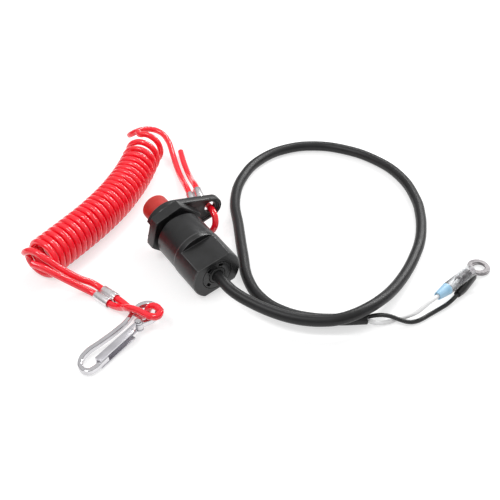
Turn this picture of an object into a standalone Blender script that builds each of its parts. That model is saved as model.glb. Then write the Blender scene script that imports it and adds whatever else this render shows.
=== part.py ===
"""Engine kill switch with lanyard, built in Blender, in metres, +Z up.

A panel switch with a red button lies on its side. A fork clip on a curly cord sits
between its nut and its button. The cord's far end carries a snap hook. A two-core
cable leaves the rear and ends in two ring terminals.
"""
from math import asin, cos, pi, radians, sin, sqrt

import bmesh
import bpy
from mathutils import Matrix, Vector

for old in list(bpy.data.objects):
    bpy.data.objects.remove(old, do_unlink=True)

MM = 0.001

# Driving dimensions.
GAP = 0.3 * MM

# Switch, along its own axis: 0 is the rear face, the button is at the far end.
BODY_RADIUS = 13.0 * MM
BODY_LENGTH = 34.0 * MM
FLAT_LENGTH = 15.0 * MM
FLAT_DEPTH = 3.5 * MM
CAVITY_RADIUS = 8.0 * MM
FRONT_WALL = 4.0 * MM
NECK_RADIUS = 9.5 * MM
NECK_PAST_NUT = 0.1 * MM
THREAD_DEPTH = 0.4 * MM
THREAD_PITCH = 1.5 * MM
CAP_THICKNESS = 3.0 * MM
GROMMET_OUTER = 4.3 * MM
RECESS_WIDTH = 2.4 * MM
RECESS_DEPTH = 1.2 * MM
RECESS_REACH = 1.6 * MM

NUT_ACROSS_FLATS = 26.0 * MM
PANEL_ROOM = 2.7 * MM
NUT_THICKNESS = 5.5 * MM
NUT_TURN = radians(-20.0)

CLIP_RIM_DEPTH = 1.2 * MM
CLIP_THICKNESS = 3.6 * MM
CLIP_HEAD_RADIUS = 12.5 * MM
CLIP_TAIL_RADIUS = 6.3 * MM
CLIP_TAIL_OFFSET = 24.0 * MM
CLIP_RIM_WIDTH = 1.4 * MM
CLIP_HOLE_RADIUS = 3.1 * MM

PLUNGER_RADIUS = 4.0 * MM
PLUNGER_STEM_RADIUS = 3.0 * MM
PLUNGER_STUB_RADIUS = 2.7 * MM
PLUNGER_STUB_LENGTH = 5.0 * MM
FLANGE_ROOM = 1.5 * MM
SPRING_ROOM = 4.0 * MM
FLANGE_THICKNESS = 2.0 * MM
BUTTON_RADIUS = 7.0 * MM
BUTTON_ROOM = 1.8 * MM
BUTTON_LENGTH = 11.5 * MM
SPRING_CLEAR = 1.3 * MM
SPRING_WIRE = 0.45 * MM
SPRING_TURNS = 2

BLOCK_REAR = 5.0 * MM
BLOCK_THICKNESS = 4.0 * MM
CONTACT_THICKNESS = 0.8 * MM
CONTACT_OFFSET = 3.6 * MM
CONTACT_WIDTH = 3.2 * MM
CONTACT_LENGTH = 6.0 * MM
CONTACT_TRAVEL = 1.8 * MM
BRIDGE_THICKNESS = 1.0 * MM

# Cords and what sits on them.
CABLE_RADIUS = 2.8 * MM
WIRE_RADIUS = 1.05 * MM
CORD_RADIUS = 1.7 * MM
COIL_RADIUS = 10.4 * MM
FERRULE_WALL = 0.5 * MM
FERRULE_PITCH = 4.7 * MM
FERRULE_LENGTH = 9.0 * MM
FERRULE_RUN = 6.0 * MM

# Snap hook: a strip on edge, a gate that straddles its nose, a rivet.
HOOK_STRIP = 2.2 * MM
HOOK_HALF_HEIGHT = 1.5 * MM
HOOK_TAB_RADIUS = 2.0 * MM
GATE_HALF_HEIGHT = 2.6 * MM
GATE_SHEET = 0.8 * MM
GATE_LENGTH = 27.0 * MM
GATE_WEB_START = 3.5 * MM
GATE_FREE_EDGE = 2.6 * MM
RIVET_RADIUS = 0.8 * MM
RIVET_HEAD_RADIUS = 1.5 * MM
RIVET_HEAD_THICKNESS = 0.5 * MM

# Ring terminals: the barrel's axis is the line of the wire.
RING_RADIUS = 5.3 * MM
RING_HOLE = 3.2 * MM
RING_THICKNESS = 0.8 * MM
TONGUE_HALF_WIDTH = 1.4 * MM
BARREL_RADIUS = 1.9 * MM
BARREL_FRONT = -8.7 * MM
BARREL_REAR = -17.0 * MM
BARREL_BORE_FRONT = -10.5 * MM
TONGUE_LAP = 0.6 * MM
WIRE_TIP = -11.0 * MM
SLEEVE_WALL = 0.4 * MM

# Where the switch lies: the middle of its clip, seen from above, and where it points.
CLIP_X = -40.66 * MM
CLIP_Y = 10.57 * MM
HEADING = radians(124.5)
BODY_ROLL = radians(-12.0)

# The part's origin: bottom centre of the box round the switch and its clip.
ORIGIN = Vector((-29.674, -2.05, 0.0)) * MM

# Derived values.
FLAT_HALF_HEIGHT = BODY_RADIUS - FLAT_DEPTH
FLANGE_RADIUS = CAVITY_RADIUS - FLANGE_ROOM
BRIDGE_RADIUS = CAVITY_RADIUS - FLANGE_ROOM
CAVITY_FRONT = BODY_LENGTH - FRONT_WALL
NUT_START = BODY_LENGTH + PANEL_ROOM
NECK_FRONT = NUT_START + NUT_THICKNESS + NECK_PAST_NUT
CLIP_REAR = NECK_FRONT + GAP
CLIP_MIDDLE = CLIP_REAR + CLIP_THICKNESS / 2
SPRING_RADIUS = PLUNGER_RADIUS + SPRING_CLEAR
FLANGE_REAR = CAVITY_FRONT - SPRING_ROOM - FLANGE_THICKNESS
BUTTON_REAR = CLIP_REAR + CLIP_THICKNESS + BUTTON_ROOM
NUT_CORNER = NUT_ACROSS_FLATS / 2 / cos(radians(30.0))
NUT_LOW = NUT_CORNER * cos(radians(10.0))
TILT = asin((NUT_LOW - BODY_RADIUS) / (NUT_START - FLAT_LENGTH))
REAR_X = CLIP_X - CLIP_MIDDLE * cos(TILT) * cos(HEADING)
REAR_Y = CLIP_Y - CLIP_MIDDLE * cos(TILT) * sin(HEADING)
REAR_Z = BODY_RADIUS * cos(TILT) - FLAT_LENGTH * sin(TILT)
GROMMET_BORE = CABLE_RADIUS + GAP
CAP_HOLE = GROMMET_OUTER + GAP
CONTACT_REAR = BLOCK_REAR + BLOCK_THICKNESS + GAP
BRIDGE_REAR = CONTACT_REAR + CONTACT_THICKNESS + CONTACT_TRAVEL
PLUNGER_REAR = BRIDGE_REAR + BRIDGE_THICKNESS + GAP
NECK_BORE = PLUNGER_RADIUS + GAP
FERRULE_BORE = CORD_RADIUS + GAP
FERRULE_OUTER = FERRULE_BORE + FERRULE_WALL
SLEEVE_BORE = BARREL_RADIUS + GAP
SLEEVE_OUTER = SLEEVE_BORE + SLEEVE_WALL
CLEAR_BORE = sqrt(TONGUE_HALF_WIDTH**2 + BARREL_RADIUS**2) + GAP
CLEAR_OUTER = CLEAR_BORE + GAP
BARREL_BORE = WIRE_RADIUS + GAP
RIVET_HOLE = RIVET_RADIUS + GAP

main = bpy.data.collections.new("engine_kill_switch_with_lanyard")
tools = bpy.data.collections.new("cutters")
bpy.context.scene.collection.children.link(main)
bpy.context.scene.collection.children.link(tools)


# Helpers.
def material(name, color, metallic=0.0, roughness=0.5):
    made = bpy.data.materials.new(name)
    made.use_nodes = True
    shader = made.node_tree.nodes["Principled BSDF"]
    shader.inputs["Base Color"].default_value = (*color, 1.0)
    shader.inputs["Metallic"].default_value = metallic
    shader.inputs["Roughness"].default_value = roughness
    return made


BLACK_PLASTIC = (0.045, 0.045, 0.045)
RED_PLASTIC = (0.50, 0.05, 0.04)
RED_CORD = (0.87, 0.02, 0.04)
STEEL = (0.55, 0.54, 0.55)
BRASS = (0.60, 0.42, 0.18)


def empty(name, location, rotation, parent):
    made = bpy.data.objects.new(name, None)
    made.location = location
    made.rotation_euler = rotation
    made.parent = parent
    main.objects.link(made)
    return made


def place(made, parent, location=(0.0, 0.0, 0.0), home=None):
    (home or main).objects.link(made)
    made.parent = parent
    made.location = location
    return made


def finish(made, look, smooth=True):
    made.data.materials.clear()
    made.data.materials.append(material(made.name + "_material", *look))
    if smooth:
        bpy.context.view_layer.update()
        bpy.context.view_layer.objects.active = made
        for other in bpy.context.selected_objects:
            other.select_set(False)
        made.select_set(True)
        bpy.ops.object.shade_smooth_by_angle(angle=radians(35.0))
        made.select_set(False)


def turned(name, profile, parent, steps=48, closed=True):
    """A round solid from (radius, height) points: a loop, or a line from axis to axis."""
    mesh = bpy.data.meshes.new(name)
    edges = [(i, i + 1) for i in range(len(profile) - 1)]
    if closed:
        edges.append((len(profile) - 1, 0))
    mesh.from_pydata([(r, 0.0, h) for r, h in profile], edges, [])
    made = place(bpy.data.objects.new(name, mesh), parent)
    screw = made.modifiers.new("turn", "SCREW")
    screw.steps = steps
    screw.render_steps = steps
    screw.use_merge_vertices = True
    screw.merge_threshold = 0.00001
    return as_mesh(made)


def as_mesh(made):
    """Replace an object by its evaluated mesh, with its normals outward."""
    bpy.context.view_layer.update()
    name = made.name
    parent = made.parent
    home = made.users_collection[0]
    local = made.matrix_local.copy()
    shape = made.evaluated_get(bpy.context.evaluated_depsgraph_get())
    mesh = bpy.data.meshes.new_from_object(shape)
    work = bmesh.new()
    work.from_mesh(mesh)
    bmesh.ops.remove_doubles(work, verts=work.verts, dist=0.000005)
    bmesh.ops.recalc_face_normals(work, faces=work.faces)
    work.to_mesh(mesh)
    work.free()
    bpy.data.objects.remove(made, do_unlink=True)
    mesh.name = name
    fresh = bpy.data.objects.new(name, mesh)
    home.objects.link(fresh)
    fresh.parent = parent
    fresh.matrix_local = local
    return fresh


def flat(name, loops, thickness, parent, middle=0.0, home=None):
    """A plate from closed outlines in XY, outer first, then holes."""
    curve = bpy.data.curves.new(name, "CURVE")
    curve.dimensions = "2D"
    curve.fill_mode = "BOTH"
    curve.extrude = thickness / 2
    for loop in loops:
        spline = curve.splines.new("POLY")
        spline.points.add(len(loop) - 1)
        for point, (x, y) in zip(spline.points, loop):
            point.co = (x, y, 0.0, 1.0)
        spline.use_cyclic_u = True
    made = place(bpy.data.objects.new(name, curve), parent, (0.0, 0.0, middle), home=home)
    return as_mesh(made)


def box(name, low, high, parent, home=None):
    mesh = bpy.data.meshes.new(name)
    work = bmesh.new()
    size = [h - l for l, h in zip(low, high)]
    middle = [(h + l) / 2 for l, h in zip(low, high)]
    bmesh.ops.create_cube(work, size=1.0)
    bmesh.ops.scale(work, vec=size, verts=work.verts)
    work.to_mesh(mesh)
    work.free()
    return place(bpy.data.objects.new(name, mesh), parent, middle, home=home)


def cylinder(name, radius, low, high, parent, location=(0.0, 0.0), sides=32, home=None):
    mesh = bpy.data.meshes.new(name)
    work = bmesh.new()
    bmesh.ops.create_cone(
        work, cap_ends=True, segments=sides, radius1=radius, radius2=radius, depth=high - low
    )
    work.to_mesh(mesh)
    work.free()
    spot = (location[0], location[1], (low + high) / 2)
    return place(bpy.data.objects.new(name, mesh), parent, spot, home=home)


def combine(target, others, operation="DIFFERENCE"):
    """Apply exact Booleans with the given tool objects."""
    for index, other in enumerate(others):
        other.hide_render = True
        other.display_type = "WIRE"
        step = target.modifiers.new("step_%d" % index, "BOOLEAN")
        step.operation = operation
        step.solver = "EXACT"
        step.object = other
    return as_mesh(target)


def circle(radius, count, center=(0.0, 0.0)):
    points = []
    for i in range(count):
        angle = 2 * pi * i / count
        points.append((center[0] + radius * cos(angle), center[1] + radius * sin(angle)))
    return points


def arc(radius, first, last, count, center=(0.0, 0.0)):
    points = []
    for i in range(count + 1):
        angle = first + (last - first) * i / count
        points.append((center[0] + radius * cos(angle), center[1] + radius * sin(angle)))
    return points


def smooth_route(points, step):
    """Points at even steps along a smooth curve through hand-chosen points."""
    chosen = [Vector(p) * MM for p in points]
    chosen = [2 * chosen[0] - chosen[1]] + chosen + [2 * chosen[-1] - chosen[-2]]
    fine = []
    for a, b, c, d in zip(chosen, chosen[1:], chosen[2:], chosen[3:]):
        for i in range(16):
            t = i / 16
            fine.append(
                0.5
                * (
                    2 * b
                    + (c - a) * t
                    + (2 * a - 5 * b + 4 * c - d) * t * t
                    + (3 * b - 3 * c + d - a) * t * t * t
                )
            )
    fine.append(chosen[-2])
    length = sum((q - p).length for p, q in zip(fine, fine[1:]))
    count = max(2, round(length / (step * MM)))
    even = length / count
    route = [fine[0]]
    passed = 0.0
    for p, q in zip(fine, fine[1:]):
        here = (q - p).length
        while len(route) < count and passed + here >= even * len(route):
            route.append(p.lerp(q, (even * len(route) - passed) / here))
        passed += here
    route.append(fine[-1])
    return route


def tube(name, route, radius, parent, resolution=2):
    """A round tube along a route, with filled ends."""
    curve = bpy.data.curves.new(name, "CURVE")
    curve.dimensions = "3D"
    curve.bevel_depth = radius
    curve.bevel_resolution = resolution
    curve.use_fill_caps = True
    spline = curve.splines.new("POLY")
    spline.points.add(len(route) - 1)
    for point, spot in zip(spline.points, route):
        point.co = (*spot, 1.0)
    made = place(bpy.data.objects.new(name, curve), parent)
    return as_mesh(made)


def strip_outline(route, width):
    """The closed outline of a strip of even width along a flat route."""
    left = []
    right = []
    for i, point in enumerate(route):
        before = route[max(i - 1, 0)]
        after = route[min(i + 1, len(route) - 1)]
        along = (after - before).normalized()
        left.append((point.x - along.y * width / 2, point.y + along.x * width / 2))
        right.append((point.x + along.y * width / 2, point.y - along.x * width / 2))
    return left + right[::-1]


# Frames.
whole = empty("whole", -ORIGIN, (0.0, 0.0, 0.0), None)
switch_axis = empty(
    "switch_axis", (REAR_X, REAR_Y, REAR_Z), (pi / 2 - TILT, 0.0, HEADING + pi / 2), whole
)
body_turn = empty("body_turn", (0.0, 0.0, 0.0), (0.0, 0.0, BODY_ROLL), switch_axis)
nut_turn = empty("nut_turn", (0.0, 0.0, 0.0), (0.0, 0.0, NUT_TURN), switch_axis)

# Switch housing.
thread = []
height = NECK_FRONT - 0.6 * MM
while height > BODY_LENGTH + THREAD_PITCH:
    thread.append((NECK_RADIUS, height))
    thread.append((NECK_RADIUS - THREAD_DEPTH, height - THREAD_PITCH / 2))
    height -= THREAD_PITCH
housing = turned(
    "switch_housing",
    [(NECK_BORE, NECK_FRONT), (NECK_RADIUS - THREAD_DEPTH, NECK_FRONT)]
    + thread
    + [
        (NECK_RADIUS, BODY_LENGTH),
        (BODY_RADIUS - 0.6 * MM, BODY_LENGTH),
        (BODY_RADIUS, BODY_LENGTH - 0.6 * MM),
        (BODY_RADIUS, 0.0),
        (CAVITY_RADIUS, 0.0),
        (CAVITY_RADIUS, CAVITY_FRONT),
        (NECK_BORE, CAVITY_FRONT),
    ],
    body_turn,
    steps=56,
)
flat_cutters = []
for side in (-1, 1):
    low = FLAT_HALF_HEIGHT if side > 0 else -2 * BODY_RADIUS
    high = 2 * BODY_RADIUS if side > 0 else -FLAT_HALF_HEIGHT
    flat_cutters.append(
        box(
            "flat_cutter",
            (-2 * BODY_RADIUS, low, -5.0 * MM),
            (2 * BODY_RADIUS, high, FLAT_LENGTH),
            body_turn,
            tools,
        )
    )
housing = combine(housing, flat_cutters)
finish(housing, (BLACK_PLASTIC, 0.0, 0.45))

# Rear cap and grommet.
rear_cap = turned(
    "rear_cap",
    [
        (CAP_HOLE, CAP_THICKNESS),
        (CAVITY_RADIUS - GAP, CAP_THICKNESS),
        (CAVITY_RADIUS - GAP, 0.0),
        (CAP_HOLE, 0.0),
    ],
    body_turn,
)
recess_middle = (CAP_HOLE + CAVITY_RADIUS - GAP) / 2
recesses = []
for angle in (60.0, 120.0, -30.0):
    turn = empty("recess_turn", (0.0, 0.0, 0.0), (0.0, 0.0, radians(angle)), body_turn)
    recesses.append(
        box(
            "recess_cutter",
            (recess_middle - RECESS_REACH / 2, -RECESS_WIDTH / 2, -1.0 * MM),
            (recess_middle + RECESS_REACH / 2, RECESS_WIDTH / 2, RECESS_DEPTH),
            turn,
            tools,
        )
    )
rear_cap = combine(rear_cap, recesses)
finish(rear_cap, (BLACK_PLASTIC, 0.0, 0.5))

grommet = turned(
    "cable_grommet",
    [
        (GROMMET_BORE, CAP_THICKNESS),
        (GROMMET_OUTER, CAP_THICKNESS),
        (GROMMET_OUTER, 0.0),
        (GROMMET_OUTER - 0.5 * MM, -0.5 * MM),
        (GROMMET_BORE, -0.5 * MM),
    ],
    switch_axis,
    steps=32,
)
finish(grommet, ((0.03, 0.03, 0.03), 0.0, 0.7))

# Contacts.
BLOCK_FRONT = BLOCK_REAR + BLOCK_THICKNESS
block = cylinder("contact_block", CAVITY_RADIUS - GAP, BLOCK_REAR, BLOCK_FRONT, body_turn, sides=40)
finish(block, (BLACK_PLASTIC, 0.0, 0.6))
for name, side in (("fixed_contact_white", 1), ("fixed_contact_black", -1)):
    contact = box(
        name,
        (side * CONTACT_OFFSET - CONTACT_WIDTH / 2, -CONTACT_LENGTH / 2, CONTACT_REAR),
        (
            side * CONTACT_OFFSET + CONTACT_WIDTH / 2,
            CONTACT_LENGTH / 2,
            CONTACT_REAR + CONTACT_THICKNESS,
        ),
        body_turn,
    )
    finish(contact, (BRASS, 1.0, 0.3), smooth=False)
BRIDGE_FRONT = BRIDGE_REAR + BRIDGE_THICKNESS
bridge = cylinder("contact_bridge", BRIDGE_RADIUS, BRIDGE_REAR, BRIDGE_FRONT, switch_axis, sides=32)
finish(bridge, (BRASS, 1.0, 0.3))

# Plunger and button.
FLANGE_FRONT = FLANGE_REAR + FLANGE_THICKNESS
STUB_REAR = BUTTON_REAR - GAP
plunger = turned(
    "plunger",
    [
        (0.0, STUB_REAR + PLUNGER_STUB_LENGTH),
        (PLUNGER_STUB_RADIUS, STUB_REAR + PLUNGER_STUB_LENGTH),
        (PLUNGER_STUB_RADIUS, STUB_REAR),
        (PLUNGER_RADIUS, STUB_REAR),
        (PLUNGER_RADIUS, FLANGE_FRONT),
        (FLANGE_RADIUS, FLANGE_FRONT),
        (FLANGE_RADIUS, FLANGE_REAR),
        (PLUNGER_STEM_RADIUS, FLANGE_REAR),
        (PLUNGER_STEM_RADIUS, PLUNGER_REAR),
        (0.0, PLUNGER_REAR),
    ],
    switch_axis,
    steps=32,
    closed=False,
)
finish(plunger, (BLACK_PLASTIC, 0.0, 0.4))

BUTTON_FRONT = BUTTON_REAR + BUTTON_LENGTH
SOCKET_RADIUS = PLUNGER_STUB_RADIUS + GAP
SOCKET_FRONT = STUB_REAR + PLUNGER_STUB_LENGTH + GAP
button = turned(
    "stop_button",
    [
        (0.0, BUTTON_FRONT),
        (BUTTON_RADIUS - 1.2 * MM, BUTTON_FRONT),
        (BUTTON_RADIUS - 0.35 * MM, BUTTON_FRONT - 0.35 * MM),
        (BUTTON_RADIUS, BUTTON_FRONT - 1.2 * MM),
        (BUTTON_RADIUS, BUTTON_REAR),
        (SOCKET_RADIUS, BUTTON_REAR),
        (SOCKET_RADIUS, SOCKET_FRONT),
        (0.0, SOCKET_FRONT),
    ],
    switch_axis,
    steps=48,
    closed=False,
)
finish(button, (RED_PLASTIC, 0.0, 0.5))

spring_points = []
spring_low = FLANGE_FRONT + GAP + SPRING_WIRE
spring_high = CAVITY_FRONT - GAP - SPRING_WIRE
for i in range(SPRING_TURNS * 16 + 1):
    angle = 2 * pi * i / 16
    level = spring_low + (spring_high - spring_low) * i / (SPRING_TURNS * 16)
    spring_points.append(Vector((SPRING_RADIUS * cos(angle), SPRING_RADIUS * sin(angle), level)))
spring = tube("return_spring", spring_points, SPRING_WIRE, switch_axis, resolution=1)
finish(spring, (STEEL, 1.0, 0.3))

# Nut.
nut = cylinder(
    "panel_nut", NUT_CORNER, NUT_START, NUT_START + NUT_THICKNESS, nut_turn, sides=6
)
# create_cone puts a corner on the Y axis, so the nut is turned by 30 degrees to +X.
nut.rotation_euler = (0.0, 0.0, radians(30.0))
nut_bore = cylinder(
    "nut_bore_cutter",
    NECK_RADIUS + GAP,
    NUT_START - 1.0 * MM,
    NUT_START + NUT_THICKNESS + 1.0 * MM,
    nut_turn,
    sides=48,
    home=tools,
)
nut = combine(nut, [nut_bore])
finish(nut, (BLACK_PLASTIC, 0.0, 0.45))


# Fork clip.
def clip_outline(inset, slotted):
    """The clip's outline: a round head, straight sides, a round tail at -X."""
    head = CLIP_HEAD_RADIUS - inset
    tail = CLIP_TAIL_RADIUS - inset
    lean = asin((CLIP_HEAD_RADIUS - CLIP_TAIL_RADIUS) / CLIP_TAIL_OFFSET)
    side = pi / 2 + lean
    slot = PLUNGER_RADIUS + GAP
    points = []
    if slotted:
        mouth = asin(slot / head)
        points += arc(head, mouth, side, 14)
        points += arc(tail, side, 2 * pi - side, 12, (-CLIP_TAIL_OFFSET, 0.0))
        points += arc(head, 2 * pi - side, 2 * pi - mouth, 14)
        points += arc(slot, -pi / 2, -3 * pi / 2, 12)
    else:
        points += arc(head, 0.0, side, 14)
        points += arc(tail, side, 2 * pi - side, 12, (-CLIP_TAIL_OFFSET, 0.0))
        points += arc(head, 2 * pi - side, 2 * pi, 14)[:-1]
    return points


clip = flat(
    "tether_clip",
    [clip_outline(0.0, True)],
    CLIP_THICKNESS,
    switch_axis,
    CLIP_REAR + CLIP_THICKNESS / 2,
)
pocket_depth = CLIP_RIM_DEPTH + 2.0 * MM
pocket = flat(
    "clip_pocket_cutter",
    [clip_outline(CLIP_RIM_WIDTH, False)],
    pocket_depth,
    switch_axis,
    CLIP_REAR + CLIP_RIM_DEPTH - pocket_depth / 2,
    tools,
)
clip_hole = cylinder(
    "clip_hole_cutter",
    CLIP_HOLE_RADIUS,
    CLIP_REAR - 2.0 * MM,
    CLIP_REAR + CLIP_THICKNESS + 2.0 * MM,
    switch_axis,
    (-CLIP_TAIL_OFFSET, 0.0),
    home=tools,
)
clip = combine(clip, [pocket, clip_hole])
finish(clip, (BLACK_PLASTIC, 0.0, 0.45))

# Ferrules.
CLIP_FERRULE = Vector((-29.0, 40.1, 9.5))
CLIP_RUN = Vector((0.261, -0.965, 0.0)).normalized()
CLIP_SIDE = Vector((0.84, 0.227, 0.493))
HOOK_FERRULE = Vector((-68.2, -31.2, 2.6))
HOOK_RUN = Vector((0.757, -0.653, 0.0)).normalized()
HOOK_SIDE = Vector((0.653, 0.757, 0.0))


def ferrule(name, middle, run, side):
    """A crimped sleeve with two barrels side by side."""
    side = (side - run * side.dot(run)).normalized()
    turn = Matrix((side, run.cross(side), run)).transposed().to_euler()
    frame = empty(name + "_frame", middle * MM, turn, whole)
    half = FERRULE_PITCH / 2
    outline = arc(FERRULE_OUTER, -pi * 0.86, pi * 0.86, 18, (half, 0.0))
    outline += arc(FERRULE_OUTER, pi * 0.14, pi * 1.86, 18, (-half, 0.0))
    holes = [circle(FERRULE_BORE, 20, (half, 0.0)), circle(FERRULE_BORE, 20, (-half, 0.0))]
    made = flat(name, [outline] + holes, FERRULE_LENGTH, frame)
    finish(made, ((0.62, 0.62, 0.63), 1.0, 0.25))
    return made


def through(middle, run, side, sign):
    """Three points of the cord's straight run through one barrel."""
    side = (side - run * side.dot(run)).normalized()
    center = middle + side * (sign * FERRULE_PITCH / MM / 2)
    reach = FERRULE_RUN / MM
    return [tuple(center + run * s) for s in (-reach, 0.0, reach)]


ferrule("clip_ferrule", CLIP_FERRULE, CLIP_RUN, CLIP_SIDE)
ferrule("hook_ferrule", HOOK_FERRULE, HOOK_RUN, HOOK_SIDE)

# Lanyard.
COIL_POINTS = [
    (-58.9, 87.0, 11.6),
    (-61.2, 75.0, 10.9),
    (-63.6, 63.0, 10.6),
    (-67.2, 49.5, 10.55),
    (-72.7, 34.6, 10.55),
    (-81.0, 18.1, 10.55),
    (-90.0, 3.6, 10.55),
    (-101.5, -13.9, 10.55),
]
coil = tube("lanyard_coil", smooth_route(COIL_POINTS, 11.0), COIL_RADIUS, whole, resolution=5)
finish(coil, (RED_CORD, 0.0, 0.3))

CLIP_END_POINTS = [
    (-64.0, 90.6, 19.2),
    (-67.4, 91.9, 17.0),
    (-69.4, 95.2, 14.2),
    (-68.4, 100.2, 12.2),
    (-64.6, 105.6, 11.0),
    (-58.6, 108.6, 9.8),
    (-52.6, 107.0, 8.4),
    (-48.2, 101.4, 6.4),
    (-45.6, 94.0, 4.2),
    (-43.4, 86.0, 2.5),
    (-41.0, 77.0, 1.9),
    (-38.6, 68.5, 2.5),
    (-36.4, 60.0, 4.6),
    (-34.4, 52.0, 7.0),
]
CLIP_END_POINTS += through(CLIP_FERRULE, CLIP_RUN, CLIP_SIDE, -1)
CLIP_END_POINTS += [
    (-28.4, 28.9, 6.3),
    (-26.0, 23.8, 4.0),
    (-23.4, 19.6, 3.6),
    (-20.7, 16.3, 5.0),
    (-18.4, 15.3, 8.2),
    (-17.7, 17.1, 11.8),
    (-19.0, 20.7, 14.6),
    (-21.2, 24.7, 15.1),
    (-23.3, 29.6, 13.4),
]
CLIP_END_POINTS += through(CLIP_FERRULE, CLIP_RUN, CLIP_SIDE, 1)[::-1]
CLIP_END_POINTS += [
    (-30.2, 53.0, 9.2),
    (-32.2, 61.0, 6.2),
    (-34.2, 69.5, 3.6),
    (-36.3, 78.0, 2.2),
    (-38.6, 87.0, 1.9),
    (-40.6, 96.0, 2.4),
]
clip_end = tube("lanyard_clip_end", smooth_route(CLIP_END_POINTS, 3.0), CORD_RADIUS, whole)
finish(clip_end, (RED_CORD, 0.0, 0.3))

# Snap hook frame: origin on the rivet, +X to the bend, tipped so the bend is low.
RIVET_SPOT = Vector((-50.5, -53.0, 5.05))
HOOK_TIP_DOWN = radians(4.9)
HOOK_HEADING = radians(-127.7)
hook_frame = empty("hook_frame", RIVET_SPOT * MM, (0.0, HOOK_TIP_DOWN, HOOK_HEADING), whole)


def on_hook(a, b, z):
    """A point given along and across the hook, with its height over the table."""
    return (
        RIVET_SPOT.x + a * cos(HOOK_HEADING) - b * sin(HOOK_HEADING),
        RIVET_SPOT.y + a * sin(HOOK_HEADING) + b * cos(HOOK_HEADING),
        z,
    )


HOOK_END_POINTS = [
    (-110.6, -12.0, 10.5),
    (-108.6, -13.6, 15.6),
    (-103.4, -17.2, 19.2),
    (-97.0, -20.4, 17.2),
    (-91.0, -22.0, 13.2),
    (-86.0, -22.8, 9.8),
    (-81.0, -22.8, 6.4),
    (-76.0, -22.6, 3.8),
]
HOOK_END_POINTS += through(HOOK_FERRULE, HOOK_RUN, HOOK_SIDE, 1)
HOOK_END_POINTS += [
    (-57.6, -37.6, 2.1),
    on_hook(-7.2, -9.4, 1.9),
    on_hook(-7.6, -6.2, 1.9),
    on_hook(-8.2, -3.4, 3.4),
    on_hook(-8.6, -2.5, 6.4),
    on_hook(-9.2, -0.8, 9.4),
    on_hook(-9.6, 2.4, 10.6),
    on_hook(-8.6, 5.9, 10.6),
    on_hook(-5.6, 6.8, 10.3),
    on_hook(-3.8, 3.8, 9.8),
    on_hook(-3.6, 0.0, 9.4),
    on_hook(-3.4, -4.5, 9.3),
    on_hook(-2.6, -9.0, 8.6),
    (-57.9, -43.0, 6.4),
    (-61.4, -39.9, 3.9),
]
HOOK_END_POINTS += through(HOOK_FERRULE, HOOK_RUN, HOOK_SIDE, -1)[::-1]
HOOK_END_POINTS += [
    (-78.2, -27.4, 3.8),
    (-82.4, -26.9, 6.2),
    (-87.2, -26.6, 9.3),
    (-92.5, -26.0, 12.6),
    (-98.0, -24.4, 15.0),
    (-103.5, -22.6, 16.2),
]
hook_end = tube("lanyard_hook_end", smooth_route(HOOK_END_POINTS, 3.0), CORD_RADIUS, whole)
finish(hook_end, (RED_CORD, 0.0, 0.3))

# Snap hook.
HOOK_POINTS = [
    (0.0, 0.0, 0.0),
    (-2.8, 1.7, 0.0),
    (-6.2, 2.9, 0.0),
    (-9.8, 2.4, 0.0),
    (-12.4, -0.2, 0.0),
    (-12.9, -3.4, 0.0),
    (-11.2, -6.4, 0.0),
    (-7.8, -7.8, 0.0),
    (-3.5, -7.0, 0.0),
    (2.0, -5.8, 0.0),
    (9.8, -5.9, 0.0),
    (18.4, -6.9, 0.0),
    (25.5, -7.8, 0.0),
    (30.5, -6.6, 0.0),
    (33.5, -3.2, 0.0),
    (33.2, 0.3, 0.0),
    (30.0, 1.8, 0.0),
    (26.0, 1.7, 0.0),
    (22.5, 1.7, 0.0),
]
hook = flat(
    "snap_hook",
    [strip_outline(smooth_route(HOOK_POINTS, 1.6), HOOK_STRIP)],
    2 * HOOK_HALF_HEIGHT,
    hook_frame,
)
tab = cylinder(
    "hook_tab", HOOK_TAB_RADIUS, -HOOK_HALF_HEIGHT, HOOK_HALF_HEIGHT, hook_frame, home=tools
)
hook = combine(hook, [tab], "UNION")
pin_hole = cylinder(
    "hook_pin_cutter", RIVET_HOLE, -5.0 * MM, 5.0 * MM, hook_frame, sides=20, home=tools
)
hook = combine(hook, [pin_hole])
finish(hook, (STEEL, 1.0, 0.2))

gate_outline = arc(HOOK_TAB_RADIUS, pi / 2 + 0.9, 1.5 * pi, 8)
gate_outline += [
    (GATE_WEB_START, -GATE_SHEET - 0.1 * MM),
    (GATE_LENGTH, -GATE_SHEET - 0.1 * MM),
    (GATE_LENGTH, GATE_FREE_EDGE),
    (GATE_WEB_START + 2.0 * MM, GATE_FREE_EDGE),
]
gate = flat("hook_gate", [gate_outline], 2 * GATE_HALF_HEIGHT, hook_frame)
inside = GATE_HALF_HEIGHT - GATE_SHEET
gate_slot = box(
    "gate_slot_cutter",
    (-6.0 * MM, -0.1 * MM, -inside),
    (GATE_LENGTH + 3.0 * MM, 6.0 * MM, inside),
    hook_frame,
    tools,
)
gate_mouth = box(
    "gate_mouth_cutter",
    (-6.0 * MM, -6.0 * MM, -inside),
    (GATE_WEB_START, 6.0 * MM, inside),
    hook_frame,
    tools,
)
gate_hole = cylinder(
    "gate_pin_cutter", RIVET_HOLE, -5.0 * MM, 5.0 * MM, hook_frame, sides=20, home=tools
)
gate = combine(gate, [gate_slot, gate_mouth, gate_hole])
finish(gate, (STEEL, 1.0, 0.25))

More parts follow.
